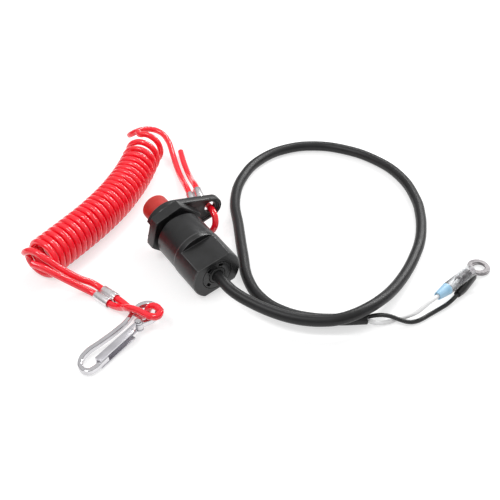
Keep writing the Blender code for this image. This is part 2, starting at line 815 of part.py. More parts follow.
HEAD_START = GATE_HALF_HEIGHT + GAP
HEAD_END = HEAD_START + RIVET_HEAD_THICKNESS
rivet = turned(
    "gate_rivet",
    [
        (0.0, HEAD_END),
        (RIVET_HEAD_RADIUS, HEAD_END),
        (RIVET_HEAD_RADIUS, HEAD_START),
        (RIVET_RADIUS, HEAD_START),
        (RIVET_RADIUS, -HEAD_START),
        (RIVET_HEAD_RADIUS, -HEAD_START),
        (RIVET_HEAD_RADIUS, -HEAD_END),
        (0.0, -HEAD_END),
    ],
    hook_frame,
    steps=24,
    closed=False,
)
finish(rivet, (STEEL, 1.0, 0.25))

# Cable and leads.
rear_way = Vector((-cos(HEADING) * cos(TILT), -sin(HEADING) * cos(TILT), -sin(TILT)))
rear_spot = Vector((REAR_X, REAR_Y, REAR_Z)) / MM


def behind(distance):
    """A point on the switch's axis, that many millimetres behind its rear face."""
    return tuple(rear_spot + rear_way * distance)


CABLE_POINTS = [
    behind(-3.5),
    behind(0.5),
    behind(4.5),
    tuple(rear_spot + Vector((6.4, -8.5, -1.4))),
    tuple(rear_spot + Vector((10.8, -12.3, -2.3))),
    (0.4, -41.8, 8.8),
    (6.0, -45.0, 8.2),
    (12.0, -48.0, 7.7),
    (18.5, -50.5, 7.5),
    (25.7, -52.3, 7.5),
    (33.0, -53.2, 7.9),
    (40.0, -53.0, 8.6),
    (46.7, -50.9, 9.15),
    (53.6, -46.6, 9.15),
    (60.5, -39.6, 7.9),
    (67.0, -30.6, 5.8),
    (72.8, -20.9, 4.1),
    (78.0, -11.0, 3.2),
    (82.5, -1.0, 2.95),
    (86.6, 10.0, 2.95),
    (89.2, 22.0, 2.95),
    (90.4, 34.2, 2.95),
    (90.1, 46.9, 2.95),
    (87.9, 59.1, 2.95),
    (83.8, 70.4, 2.95),
    (78.2, 79.5, 2.95),
    (71.5, 86.6, 2.95),
    (64.0, 92.4, 2.95),
    (55.5, 97.0, 2.95),
    (46.5, 100.0, 2.95),
    (37.7, 101.1, 2.95),
    (29.2, 100.4, 2.95),
    (21.3, 97.8, 2.95),
    (13.8, 93.4, 2.95),
    (6.9, 87.4, 2.95),
    (1.1, 79.6, 2.95),
    (-3.4, 70.2, 2.95),
    (-6.5, 59.1, 2.95),
    (-8.1, 46.9, 2.95),
    (-8.0, 35.0, 2.95),
    (-6.0, 23.5, 2.95),
    (-4.6, 11.5, 2.95),
    (-3.6, 0.0, 2.95),
    (-2.5, -10.0, 2.95),
    (-0.9, -19.2, 2.95),
    (1.9, -27.2, 2.95),
    (5.9, -33.6, 2.95),
    (10.6, -38.6, 2.95),
    (16.0, -42.2, 2.95),
    (22.0, -45.0, 2.95),
    (28.3, -46.6, 2.95),
    (35.0, -47.2, 2.95),
    (42.0, -47.3, 2.95),
    (48.0, -47.0, 2.95),
    (54.0, -46.6, 2.95),
]
cable = tube("cable_jacket", smooth_route(CABLE_POINTS, 7.0), CABLE_RADIUS, whole, resolution=3)
finish(cable, ((0.04, 0.04, 0.04), 0.0, 0.45))

WHITE_RING = Vector((111.1, -14.4, 8.6))
WHITE_HEADING = radians(44.2)
BLACK_RING = Vector((113.7, -8.4, 2.7))
BLACK_HEADING = radians(54.9)


def on_lead(ring, heading, along):
    """A point on a terminal's axis, in millimetres from its ring's centre."""
    return (ring.x + along * cos(heading), ring.y + along * sin(heading), ring.z)


WHITE_POINTS = [
    (54.5, -47.9, 2.9),
    (58.5, -48.4, 2.0),
    (63.0, -47.4, 1.25),
    (68.0, -45.2, 1.3),
    (73.0, -44.4, 2.4),
    (78.0, -43.6, 4.8),
    (81.3, -42.2, 7.2),
]
WHITE_POINTS += [on_lead(WHITE_RING, WHITE_HEADING, s) for s in (-37.0, -33.0, -22.0, WIRE_TIP / MM)]
BLACK_POINTS = [
    (54.5, -45.3, 2.9),
    (59.0, -45.0, 3.6),
    (64.0, -45.9, 4.1),
    (69.0, -47.5, 3.1),
    (74.0, -47.6, 1.7),
    (79.0, -45.6, 1.2),
    (84.0, -42.0, 1.2),
    (89.0, -38.4, 1.4),
    (93.6, -35.2, 2.0),
]
BLACK_POINTS += [on_lead(BLACK_RING, BLACK_HEADING, s) for s in (-28.0, -25.0, -18.0, WIRE_TIP / MM)]
white_wire = tube("wire_white", smooth_route(WHITE_POINTS, 2.5), WIRE_RADIUS, whole, resolution=1)
finish(white_wire, ((0.85, 0.85, 0.84), 0.0, 0.4))
black_wire = tube("wire_black", smooth_route(BLACK_POINTS, 2.5), WIRE_RADIUS, whole, resolution=1)
finish(black_wire, ((0.03, 0.03, 0.03), 0.0, 0.4))


# Ring terminals.
def terminal(name, frame):
    """A ring, its tongue and its crimp barrel in one piece, the ring at the origin."""
    lean = asin(TONGUE_HALF_WIDTH / RING_RADIUS)
    outline = arc(RING_RADIUS, -pi + lean, pi - lean, 32)
    tongue_end = BARREL_FRONT - TONGUE_LAP
    outline += [(tongue_end, TONGUE_HALF_WIDTH), (tongue_end, -TONGUE_HALF_WIDTH)]
    level = -BARREL_RADIUS + RING_THICKNESS / 2
    plate = flat(name, [outline, circle(RING_HOLE, 28)], RING_THICKNESS, frame, level)
    lying = empty(name + "_lying", (0.0, 0.0, 0.0), (0.0, pi / 2, 0.0), frame)
    barrel = cylinder(name + "_barrel", BARREL_RADIUS, BARREL_REAR, BARREL_FRONT, lying, home=tools)
    plate = combine(plate, [barrel], "UNION")
    bore = cylinder(
        name + "_bore_cutter",
        BARREL_BORE,
        BARREL_REAR - 2.0 * MM,
        BARREL_BORE_FRONT,
        lying,
        sides=20,
        home=tools,
    )
    plate = combine(plate, [bore])
    finish(plate, ((0.60, 0.59, 0.58), 1.0, 0.3))
    return lying


white_frame = empty("white_lead_frame", WHITE_RING * MM, (0.0, 0.0, WHITE_HEADING), whole)
black_frame = empty("black_lead_frame", BLACK_RING * MM, (0.0, 0.0, BLACK_HEADING), whole)
white_lying = terminal("terminal_white", white_frame)
black_lying = terminal("terminal_black", black_frame)

BLUE_REAR = -33.0 * MM
BLUE_FRONT = -25.3 * MM
CLEAR_FRONT = -6.5 * MM
BLACK_SLEEVE_REAR = -26.0 * MM
BLACK_SLEEVE_FRONT = BARREL_FRONT - TONGUE_LAP - GAP
blue = turned(
    "sleeve_blue",
    [
        (BARREL_BORE, BLUE_FRONT),
        (CLEAR_OUTER, BLUE_FRONT),
        (WIRE_RADIUS + 0.9 * MM, BLUE_REAR),
        (BARREL_BORE, BLUE_REAR),
    ],
    white_lying,
    steps=32,
)
finish(blue, ((0.35, 0.62, 0.80), 0.0, 0.35))
clear = turned(
    "sleeve_clear",
    [
        (CLEAR_BORE, CLEAR_FRONT),
        (CLEAR_OUTER, CLEAR_FRONT),
        (CLEAR_OUTER, BLUE_FRONT + GAP),
        (CLEAR_BORE, BLUE_FRONT + GAP),
    ],
    white_lying,
    steps=32,
)
finish(clear, ((0.75, 0.76, 0.76), 0.0, 0.25))
dark = turned(
    "sleeve_black",
    [
        (SLEEVE_BORE, BLACK_SLEEVE_FRONT),
        (SLEEVE_OUTER, BLACK_SLEEVE_FRONT),
        (SLEEVE_OUTER, BLACK_SLEEVE_REAR),
        (SLEEVE_BORE, BLACK_SLEEVE_REAR),
    ],
    black_lying,
    steps=32,
)
finish(dark, ((0.03, 0.03, 0.03), 0.0, 0.5))

for cutter in tools.objects:
    cutter.hide_render = True
    cutter.display_type = "WIRE"
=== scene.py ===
# %% [markdown]
# This lesson dresses an engine kill switch with its lanyard. The measured model comes in
# first and stays fixed: it gives every body, joint and size. The pieces modelled here are
# finer copies of its solids, and each one rides on the body that the solid belongs to.

# %% Load the measured model
from math import cos, pi, radians, sin

import bpy
from mathutils import Matrix, Vector


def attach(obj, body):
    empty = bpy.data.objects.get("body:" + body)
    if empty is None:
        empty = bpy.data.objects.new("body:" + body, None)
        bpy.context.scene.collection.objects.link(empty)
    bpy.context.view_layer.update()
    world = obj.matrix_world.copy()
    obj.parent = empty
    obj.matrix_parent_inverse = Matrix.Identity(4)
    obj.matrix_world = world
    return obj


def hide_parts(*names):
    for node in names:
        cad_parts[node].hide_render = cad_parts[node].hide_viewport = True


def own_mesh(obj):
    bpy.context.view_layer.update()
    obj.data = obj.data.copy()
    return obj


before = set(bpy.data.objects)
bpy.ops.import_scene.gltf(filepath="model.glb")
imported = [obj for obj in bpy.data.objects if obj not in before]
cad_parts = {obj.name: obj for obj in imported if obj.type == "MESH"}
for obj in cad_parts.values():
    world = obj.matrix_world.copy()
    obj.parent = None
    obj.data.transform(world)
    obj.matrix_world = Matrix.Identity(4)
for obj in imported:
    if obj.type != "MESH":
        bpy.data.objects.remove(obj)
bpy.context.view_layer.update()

# %% [markdown]
# The camera comes before the pieces, because a cord may only run so far outside its view.
# A 65 mm lens from about half a metre looks down at 39 degrees, which gives the ovals of
# the cable loop and of the coil their proportions.

# %% Camera
CAMERA_SPOT = (0.029674, -0.348745, 0.290068)
LOOK_DOWN = 39.0
camera_lens = bpy.data.cameras.new("camera")
camera_lens.lens = 65.0
camera_lens.sensor_width = 36.0
camera = bpy.data.objects.new("camera", camera_lens)
camera.location = CAMERA_SPOT
camera.rotation_euler = (radians(90.0 - LOOK_DOWN), 0.0, 0.0)
bpy.context.scene.collection.objects.link(camera)
bpy.context.scene.camera = camera
print("camera at", tuple(camera.location))

# %% [markdown]
# A cord is a length of something flexible, so it is drawn as one smooth line with a round
# section. A Bezier spline with automatic handles passes through every chosen point, and
# its bevel depth is the cord's radius. A swept mesh would work as well, but the curve keeps
# its centre line, which can be measured.

# %% One cord
MM = 0.001


def lay_cord(name, route, diameter, smooth=5, roundness=4):
    """A round cord along a route of points in metres."""
    line = bpy.data.curves.new(name, "CURVE")
    line.dimensions = "3D"
    line.bevel_depth = diameter / 2
    line.bevel_resolution = roundness
    line.resolution_u = smooth
    line.use_fill_caps = True
    spline = line.splines.new("BEZIER")
    spline.bezier_points.add(len(route) - 1)
    for knot, spot in zip(spline.bezier_points, route):
        knot.co = spot
        knot.handle_left_type = "AUTO"
        knot.handle_right_type = "AUTO"
    cord = bpy.data.objects.new(name, line)
    bpy.context.scene.collection.objects.link(cord)
    return cord


def run_of(route, steps=8):
    """Points along the smooth curve through a route, close enough to measure."""
    spots = [Vector(p) for p in route]
    spots = [2 * spots[0] - spots[1]] + spots + [2 * spots[-1] - spots[-2]]
    fine = []
    for a, b, c, d in zip(spots, spots[1:], spots[2:], spots[3:]):
        for i in range(steps):
            t = i / steps
            bend = 2 * a - 5 * b + 4 * c - d
            fine.append((2 * b + (c - a) * t + bend * t * t + (3 * b - 3 * c + d - a) * t**3) / 2)
    return fine + [spots[-2]]


def length_of(route):
    fine = run_of(route)
    return sum((q - p).length for p, q in zip(fine, fine[1:]))


# %% [markdown]
# The cable leaves the switch's rear, dips to the table, climbs over its own end and lies
# in one wide loop. The photograph shows it from end to end, so its length is the real one.
# The points are those of the measured model.

# %% Cable and its two leads
CABLE_THICK = 5.6 * MM
LEAD_THICK = 2.1 * MM
CABLE_ROUTE = [
    (0.0121, -0.0210, 0.0120), (0.0144, -0.0243, 0.0117), (0.0166, -0.0275, 0.0114),
    (0.0205, -0.0323, 0.0103), (0.0249, -0.0361, 0.0094), (0.0301, -0.0397, 0.0088),
    (0.0357, -0.0430, 0.0082), (0.0417, -0.0459, 0.0077), (0.0482, -0.0485, 0.0075),
    (0.0554, -0.0503, 0.0075), (0.0627, -0.0512, 0.0079), (0.0697, -0.0510, 0.0086),
    (0.0764, -0.0489, 0.0092), (0.0833, -0.0445, 0.0092), (0.0902, -0.0375, 0.0079),
    (0.0967, -0.0286, 0.0058), (0.1025, -0.0189, 0.0041), (0.1077, -0.0090, 0.0032),
    (0.1122, 0.0010, 0.0030), (0.1163, 0.0121, 0.0030), (0.1189, 0.0241, 0.0030),
    (0.1201, 0.0363, 0.0030), (0.1198, 0.0490, 0.0030), (0.1135, 0.0725, 0.0030),
    (0.1012, 0.0887, 0.0030), (0.0852, 0.0991, 0.0030), (0.0674, 0.1032, 0.0030),
    (0.0510, 0.0999, 0.0030), (0.0366, 0.0895, 0.0030), (0.0263, 0.0723, 0.0030),
    (0.0216, 0.0490, 0.0030), (0.0237, 0.0256, 0.0030), (0.0261, 0.0021, 0.0030),
    (0.0288, -0.0172, 0.0030), (0.0356, -0.0315, 0.0030), (0.0457, -0.0402, 0.0030),
    (0.0580, -0.0445, 0.0030), (0.0717, -0.0452, 0.0030), (0.0837, -0.0445, 0.0030),
]
WHITE_ROUTE = [
    (0.0842, -0.0459, 0.0029), (0.0876, -0.0464, 0.0021), (0.0909, -0.0459, 0.0015),
    (0.0942, -0.0447, 0.0012), (0.0974, -0.0432, 0.0013), (0.1008, -0.0426, 0.0018),
    (0.1041, -0.0421, 0.0030), (0.1072, -0.0417, 0.0045), (0.1099, -0.0407, 0.0065),
    (0.1126, -0.0392, 0.0081), (0.1153, -0.0372, 0.0087), (0.1178, -0.0347, 0.0086),
    (0.1203, -0.0322, 0.0086), (0.1228, -0.0298, 0.0086), (0.1254, -0.0273, 0.0086),
    (0.1279, -0.0249, 0.0086), (0.1304, -0.0225, 0.0086), (0.1329, -0.0200, 0.0086),
]
BLACK_ROUTE = [
    (0.0842, -0.0433, 0.0029), (0.0881, -0.0429, 0.0035), (0.0920, -0.0435, 0.0041),
    (0.0954, -0.0444, 0.0039), (0.0991, -0.0455, 0.0030), (0.1029, -0.0457, 0.0019),
    (0.1067, -0.0446, 0.0013), (0.1101, -0.0426, 0.0012), (0.1133, -0.0402, 0.0012),
    (0.1161, -0.0382, 0.0013), (0.1194, -0.0359, 0.0015), (0.1227, -0.0336, 0.0019),
    (0.1256, -0.0310, 0.0024), (0.1282, -0.0280, 0.0027), (0.1305, -0.0247, 0.0027),
    (0.1325, -0.0219, 0.0027), (0.1348, -0.0186, 0.0027), (0.1370, -0.0153, 0.0027),
]
cable = lay_cord("cable", CABLE_ROUTE, CABLE_THICK, roundness=6)
lead_white = lay_cord("lead_white", WHITE_ROUTE, LEAD_THICK)
lead_black = lay_cord("lead_black", BLACK_ROUTE, LEAD_THICK)
lead_lengths = [round(length_of(route), 3) for route in (WHITE_ROUTE, BLACK_ROUTE)]
print("cable", round(length_of(CABLE_ROUTE), 3), "leads", lead_lengths)

# %% [markdown]
# The lanyard is one cord: from the hole of the clip it runs up to the coil, winds down the
# coil and ends round the eye of the hook. The coil is a left-handed spiral wound round a
# bent axis, with looser turns at the clip's end. At each step the spiral's phase moves on
# by as many turns as the local pitch asks for.

# %% Winding of the coil
CORD_THICK = 3.4 * MM
COIL_AXIS = [
    (-0.0292, 0.0891, 0.0116), (-0.0315, 0.0771, 0.0109), (-0.0339, 0.0650, 0.0106),
    (-0.0375, 0.0516, 0.0106), (-0.0430, 0.0367, 0.0106), (-0.0513, 0.0202, 0.0106),
    (-0.0603, 0.0057, 0.0106), (-0.0718, -0.0119, 0.0106),
]
CLIP_SIDE_ROUTE = [
    (0.0085, 0.0268, 0.0151), (0.0107, 0.0228, 0.0146), (0.0120, 0.0192, 0.0118),
    (0.0113, 0.0174, 0.0082), (0.0090, 0.0183, 0.0050), (0.0063, 0.0217, 0.0036),
    (0.0037, 0.0258, 0.0040), (0.0013, 0.0310, 0.0063), (0.0003, 0.0358, 0.0083),
    (-0.0013, 0.0416, 0.0083), (-0.0029, 0.0474, 0.0083), (-0.0047, 0.0541, 0.0070),
    (-0.0067, 0.0621, 0.0046), (-0.0089, 0.0706, 0.0025), (-0.0113, 0.0791, 0.0019),
    (-0.0137, 0.0881, 0.0025), (-0.0159, 0.0961, 0.0042), (-0.0185, 0.1035, 0.0064),
    (-0.0229, 0.1091, 0.0084), (-0.0289, 0.1107, 0.0098), (-0.0349, 0.1077, 0.0110),
    (-0.0387, 0.1023, 0.0122), (-0.0397, 0.0972, 0.0142), (-0.0377, 0.0940, 0.0170),
    (-0.0343, 0.0927, 0.0192),
]
HOOK_SIDE_ROUTE = [
    (-0.0809, -0.0099, 0.0105), (-0.0789, -0.0116, 0.0156), (-0.0737, -0.0152, 0.0192),
    (-0.0673, -0.0184, 0.0172), (-0.0613, -0.0200, 0.0132), (-0.0563, -0.0208, 0.0098),
    (-0.0513, -0.0208, 0.0064), (-0.0463, -0.0206, 0.0038), (-0.0415, -0.0235, 0.0026),
    (-0.0370, -0.0274, 0.0026), (-0.0324, -0.0313, 0.0026), (-0.0279, -0.0355, 0.0021),
    (-0.0239, -0.0395, 0.0019), (-0.0211, -0.0411, 0.0019), (-0.0185, -0.0424, 0.0034),
    (-0.0175, -0.0426, 0.0064), (-0.0158, -0.0432, 0.0094), (-0.0131, -0.0448, 0.0106),
    (-0.0109, -0.0478, 0.0106),
]
CLIP_TAIL_ROUTE = [
    (0.0085, 0.0268, 0.0151), (0.0064, 0.0317, 0.0134), (0.0042, 0.0369, 0.0107),
    (0.0026, 0.0427, 0.0107), (0.0011, 0.0485, 0.0107), (-0.0005, 0.0551, 0.0092),
    (-0.0025, 0.0631, 0.0062), (-0.0045, 0.0716, 0.0036), (-0.0066, 0.0800, 0.0022),
    (-0.0089, 0.0891, 0.0019), (-0.0109, 0.0980, 0.0024),
]
HOOK_TAIL_ROUTE = [
    (-0.0109, -0.0478, 0.0106), (-0.0120, -0.0507, 0.0103), (-0.0155, -0.0503, 0.0098),
    (-0.0186, -0.0481, 0.0094), (-0.0223, -0.0455, 0.0093), (-0.0264, -0.0434, 0.0086),
    (-0.0282, -0.0410, 0.0064), (-0.0317, -0.0379, 0.0039), (-0.0355, -0.0348, 0.0026),
    (-0.0401, -0.0309, 0.0026), (-0.0446, -0.0270, 0.0026), (-0.0485, -0.0254, 0.0038),
    (-0.0527, -0.0249, 0.0062), (-0.0575, -0.0246, 0.0093), (-0.0628, -0.0240, 0.0126),
    (-0.0683, -0.0224, 0.0150), (-0.0738, -0.0206, 0.0162),
]
COIL_MIDDLE_RADIUS = 8.7 * MM
COIL_TURNS = 26 - 65 / 360
LOOSE_PITCH = 7.5 * MM
TIGHT_PITCH = 3.75 * MM
LOOSE_END = 8 * MM
TIGHT_START = 36 * MM
POINTS_A_TURN = 14
AXIS_STEPS = 60
FIRST_PHASE = radians(115)


def wind(axis, first_phase):
    """Points of the spiral: the phase turns faster where the pitch is small."""
    fine = run_of(axis, AXIS_STEPS)
    passed = [0.0]
    turned = [0.0]
    for p, q in zip(fine, fine[1:]):
        step = (q - p).length
        share = min(1.0, max(0.0, (passed[-1] - LOOSE_END) / (TIGHT_START - LOOSE_END)))
        density = (1 - share) / LOOSE_PITCH + share / TIGHT_PITCH
        passed.append(passed[-1] + step)
        turned.append(turned[-1] + step * density)
    scale = COIL_TURNS / turned[-1]
    count = round(COIL_TURNS * POINTS_A_TURN)
    spots = []
    here = 0
    for i in range(count + 1):
        wanted = COIL_TURNS * i / count
        while here < len(fine) - 2 and turned[here + 1] * scale < wanted:
            here += 1
        part = (wanted - turned[here] * scale) / ((turned[here + 1] - turned[here]) * scale)
        middle = fine[here].lerp(fine[here + 1], part)
        along = (fine[min(here + 2, len(fine) - 1)] - fine[max(here - 1, 0)]).normalized()
        right = Vector((0, 0, 1)).cross(along).normalized()
        up = along.cross(right)
        phase = first_phase - 2 * pi * wanted
        spots.append(middle + (right * cos(phase) + up * sin(phase)) * COIL_MIDDLE_RADIUS)
    return spots


coil_spots = wind(COIL_AXIS, FIRST_PHASE)
LANYARD_ROUTE = CLIP_SIDE_ROUTE + coil_spots + HOOK_SIDE_ROUTE[1:]
print("coil points", len(coil_spots), "lanyard", round(length_of(LANYARD_ROUTE), 3), "m")

# %% [markdown]
# Both ends of the cord fold back through a crimped ferrule. Each short tail is a curve of
# its own that starts exactly where the long cord ends, in the clip's hole and at the tip
# of the hook's eye, so the two read as one cord.

# %% Lanyard cord and its tails
lanyard_cord = lay_cord("lanyard_cord", LANYARD_ROUTE, CORD_THICK, smooth=3, roundness=4)
lanyard_clip_tail = lay_cord("lanyard_clip_tail", CLIP_TAIL_ROUTE, CORD_THICK)
lanyard_hook_tail = lay_cord("lanyard_hook_tail", HOOK_TAIL_ROUTE, CORD_THICK)
tail_lengths = [round(length_of(route), 3) for route in (CLIP_TAIL_ROUTE, HOOK_TAIL_ROUTE)]
print("tails", tail_lengths, "m")

# %% [markdown]
# Plastic, rubber and metal are told apart by their gloss more than by their colour. Every
# finish is a Principled shader whose colour and roughness drift a little over a few
# millimetres, with a fine bump on top. The pattern reads Object coordinates, so it keeps
# its scale on each piece, and an image would only repeat.

# %% A finish with drift and grain
RELIEF_DEPTH = 0.05 * MM


def make_finish(name, shade, other_shade, rough, metal=0.0, patch=6.0, grain=0.3, bump=0.1):
    """Two shades in patches, roughness between two values, and a fine grain; sizes in mm."""
    look = bpy.data.materials.new(name)
    look.use_nodes = True
    nodes = look.node_tree.nodes
    link = look.node_tree.links.new
    shader = nodes["Principled BSDF"]
    shader.inputs["Metallic"].default_value = metal
    place = nodes.new("ShaderNodeTexCoord")

    def noise(size, detail):
        made = nodes.new("ShaderNodeTexNoise")
        made.inputs["Scale"].default_value = 1 / (size * MM)
        made.inputs["Detail"].default_value = detail
        link(place.outputs["Object"], made.inputs["Vector"])
        return made

    patches = noise(patch, 4.0)
    shades = nodes.new("ShaderNodeValToRGB")
    shades.color_ramp.elements[0].position = 0.3
    shades.color_ramp.elements[0].color = (*shade, 1)
    shades.color_ramp.elements[1].position = 0.7
    shades.color_ramp.elements[1].color = (*other_shade, 1)
    link(patches.outputs["Fac"], shades.inputs["Fac"])
    link(shades.outputs["Color"], shader.inputs["Base Color"])
    spread = nodes.new("ShaderNodeMapRange")
    spread.inputs["To Min"].default_value = rough[0]
    spread.inputs["To Max"].default_value = rough[1]
    link(patches.outputs["Fac"], spread.inputs["Value"])
    link(spread.outputs["Result"], shader.inputs["Roughness"])
    grains = noise(grain, 3.0)
    relief = nodes.new("ShaderNodeBump")
    relief.inputs["Strength"].default_value = bump
    relief.inputs["Distance"].default_value = RELIEF_DEPTH
    link(grains.outputs["Fac"], relief.inputs["Height"])
    link(relief.outputs["Normal"], shader.inputs["Normal"])
    return look


def wear_finish(piece, look, body, slot, *solids):
    """Give a piece its finish, its body and the solids that it stands for; the slot is not used."""
    if not piece.data.materials:
        piece.data.materials.append(look)
    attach(piece, body)
    if solids:
        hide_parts(*solids)


# %% [markdown]
# The cords are soft PVC. The red one is glossy and saturated, and a thin clear coat gives
# it the white streaks along every turn. The black cable is a satin jacket, and the white
# lead is a little off white, so that it still shows its roundness against the background.

# %% Cord finishes
def shader_of(look):
    return look.node_tree.nodes["Principled BSDF"]


red_pvc = make_finish(
    "red_pvc", (0.90, 0.006, 0.020), (0.96, 0.012, 0.032), (0.10, 0.16),
    patch=9, grain=0.8, bump=0.05,
)
red_shader = shader_of(red_pvc)
red_shader.inputs["Coat Weight"].default_value = 0.5
red_shader.inputs["Coat Roughness"].default_value = 0.03
red_shader.inputs["Subsurface Weight"].default_value = 0.35
red_shader.inputs["Subsurface Radius"].default_value = (1.0, 0.08, 0.08)
red_shader.inputs["Subsurface Scale"].default_value = 2.5 * MM
black_jacket = make_finish(
    "black_jacket", (0.010, 0.010, 0.010), (0.016, 0.016, 0.017), (0.36, 0.48),
    patch=7, grain=0.5, bump=0.12,
)
shader_of(black_jacket).inputs["Specular IOR Level"].default_value = 0.34
white_insulation = make_finish(
    "white_insulation", (0.84, 0.84, 0.84), (0.90, 0.90, 0.90), (0.28, 0.38),
    patch=6, grain=0.4, bump=0.06,
)
black_insulation = make_finish(
    "black_insulation", (0.010, 0.010, 0.010), (0.018, 0.018, 0.018), (0.30, 0.42),
    patch=5, grain=0.4, bump=0.08,
)

wear_finish(cable, black_jacket, "switch", "cable_jacket", "cable_jacket")
wear_finish(lead_white, white_insulation, "switch", "white_insulation", "wire_white")
wear_finish(lead_black, black_insulation, "switch", "black_insulation", "wire_black")
wear_finish(
    lanyard_cord, red_pvc, "lanyard", "red_cord",
    "lanyard_coil", "lanyard_clip_end", "lanyard_hook_end",
)
wear_finish(lanyard_clip_tail, red_pvc, "lanyard", "red_cord")
wear_finish(lanyard_hook_tail, red_pvc, "lanyard", "red_cord")
print("cord finishes", [look.name for look in (red_pvc, black_jacket, white_insulation, black_insulation)])

# %% [markdown]
# Each rigid piece is modelled upright round the Z axis, as on a workbench, and then carried
# to its place by one matrix. The switch lies on its side: its axis tips up by the height
# that the nut adds, and its button points away to the left.

# %% Where each group of pieces lies
def standing(spot, x, y, z):
    """The matrix that puts the workbench's axes on three directions at a spot."""
    turn = Matrix((x, y, z)).transposed().to_4x4()
    return Matrix.Translation(spot) @ turn


def turned_by(angle, axis):
    return Matrix.Rotation(angle, 4, axis)


REAR_SPOT = Vector((0.014077, -0.023847, 0.011724))
TIP_UP = 0.082261
HEADING = radians(124.5)
BODY_ROLL = radians(-12)
NUT_ROLL = radians(10)
HOOK_SPOT = Vector((-0.020826, -0.05095, 0.00505))
HOOK_HEADING = -2.228786
HOOK_TIP = 0.085521
WHITE_RING_SPOT = Vector((0.140774, -0.01235, 0.0086))
WHITE_RING_HEADING = 0.771436
BLACK_RING_SPOT = Vector((0.143374, -0.00635, 0.0027))
BLACK_RING_HEADING = 0.958186
switch_turn = turned_by(HEADING + pi / 2, "Z")
switch_place = Matrix.Translation(REAR_SPOT) @ switch_turn @ turned_by(pi / 2 - TIP_UP, "X")
body_place = switch_place @ turned_by(BODY_ROLL, "Z")
nut_place = switch_place @ turned_by(NUT_ROLL, "Z")
hook_turn = turned_by(HOOK_HEADING, "Z")
hook_place = Matrix.Translation(HOOK_SPOT) @ hook_turn @ turned_by(HOOK_TIP, "Y")
white_place = Matrix.Translation(WHITE_RING_SPOT) @ turned_by(WHITE_RING_HEADING, "Z")
black_place = Matrix.Translation(BLACK_RING_SPOT) @ turned_by(BLACK_RING_HEADING, "Z")
print("button way", tuple(round(c, 3) for c in switch_place.to_3x3() @ Vector((0, 0, 1))))

# %% [markdown]
# Four small moves make nearly every piece here. In the first, a ring of points is extruded
# up and scaled, step by step, which grows a round piece from a list of radii and heights.

# %% Round pieces
MERGE_DISTANCE = 0.002 * MM


def deselect():
    bpy.ops.object.select_all(action="DESELECT")


def take(piece):
    """Make one piece the only selected one."""
    deselect()
    piece.select_set(True)
    bpy.context.view_layer.objects.active = piece


def close_up(piece):
    """Merge doubled points and turn the faces outward."""
    take(piece)
    bpy.ops.object.mode_set(mode="EDIT")
    bpy.ops.mesh.select_all(action="SELECT")
    bpy.ops.mesh.remove_doubles(threshold=MERGE_DISTANCE)
    bpy.ops.mesh.normals_make_consistent(inside=False)
    bpy.ops.object.mode_set(mode="OBJECT")


def grow_rings(name, profile, sides=64, capped=False):
    """A round piece from (radius, height) steps in mm; a loop of steps unless capped."""
    deselect()
    radius, height = profile[0]
    bpy.ops.mesh.primitive_circle_add(vertices=sides, radius=radius * MM, location=(0, 0, height * MM))
    piece = bpy.context.object
    piece.name = name
    bpy.ops.object.transform_apply(location=True)
    bpy.ops.object.mode_set(mode="EDIT")
    bpy.ops.mesh.select_all(action="SELECT")
    for (r, h), (next_r, next_h) in zip(profile, profile[1:]):
        bpy.ops.mesh.extrude_region_move(TRANSFORM_OT_translate={"value": (0, 0, (next_h - h) * MM)})
        bpy.ops.transform.resize(value=(next_r / r, next_r / r, 1), center_override=(0, 0, next_h * MM))
    bpy.ops.mesh.select_all(action="SELECT")
    bpy.ops.mesh.remove_doubles(threshold=MERGE_DISTANCE)
    if capped:
        bpy.ops.mesh.fill_holes(sides=sides)
    bpy.ops.mesh.normals_make_consistent(inside=False)
    bpy.ops.object.mode_set(mode="OBJECT")
    return piece


# %% [markdown]
# The second move wraps a hull round discs, which gives a plate with round ends. A block
# between two corners is mostly used up as a cutter.

# %% Plates and blocks
LEVEL_BELOW = radians(0.5)


def wrap_discs(name, discs, low, high, sides=64):
    """A plate wrapped round discs (x, y, radius), between two heights, in mm."""
    deselect()
    for index, (x, y, radius) in enumerate(discs):
        bpy.ops.mesh.primitive_cylinder_add(
            vertices=sides,
            radius=radius * MM,
            depth=(high - low) * MM,
            location=(x * MM, y * MM, (low + high) / 2 * MM),
        )
        if index == 0:
            piece = bpy.context.object
            piece.name = name
            bpy.ops.object.transform_apply(location=True)
            bpy.ops.object.mode_set(mode="EDIT")
    bpy.ops.mesh.select_all(action="SELECT")
    if len(discs) > 1:
        bpy.ops.mesh.convex_hull()
        bpy.ops.mesh.dissolve_limited(angle_limit=LEVEL_BELOW)
    bpy.ops.object.mode_set(mode="OBJECT")
    return piece


def block(name, low, high):
    """A block between two corners, in mm."""
    deselect()
    size = [(b - a) * MM for a, b in zip(low, high)]
    middle = [(b + a) / 2 * MM for a, b in zip(low, high)]
    bpy.ops.mesh.primitive_cube_add(size=1.0, location=middle, scale=size)
    piece = bpy.context.object
    piece.name = name
    bpy.ops.object.transform_apply(location=True, scale=True)
    return piece


# %% [markdown]
# The third move cuts one piece from another, or joins them. The fourth gives sharp edges a
# small bevel, because it is the bevel that catches light. A finished piece is then carried
# from the bench to its place.

# %% Cutting, rounding and placing
SMOOTH_BELOW = radians(35)


def carve(piece, others, operation="DIFFERENCE"):
    """Cut, join or keep by other pieces, which are used up."""
    for other in others:
        take(piece)
        step = piece.modifiers.new("carve", "BOOLEAN")
        step.operation = operation
        step.solver = "EXACT"
        step.object = other
        bpy.ops.object.modifier_apply(modifier=step.name)
        bpy.data.objects.remove(other, do_unlink=True)
    return piece


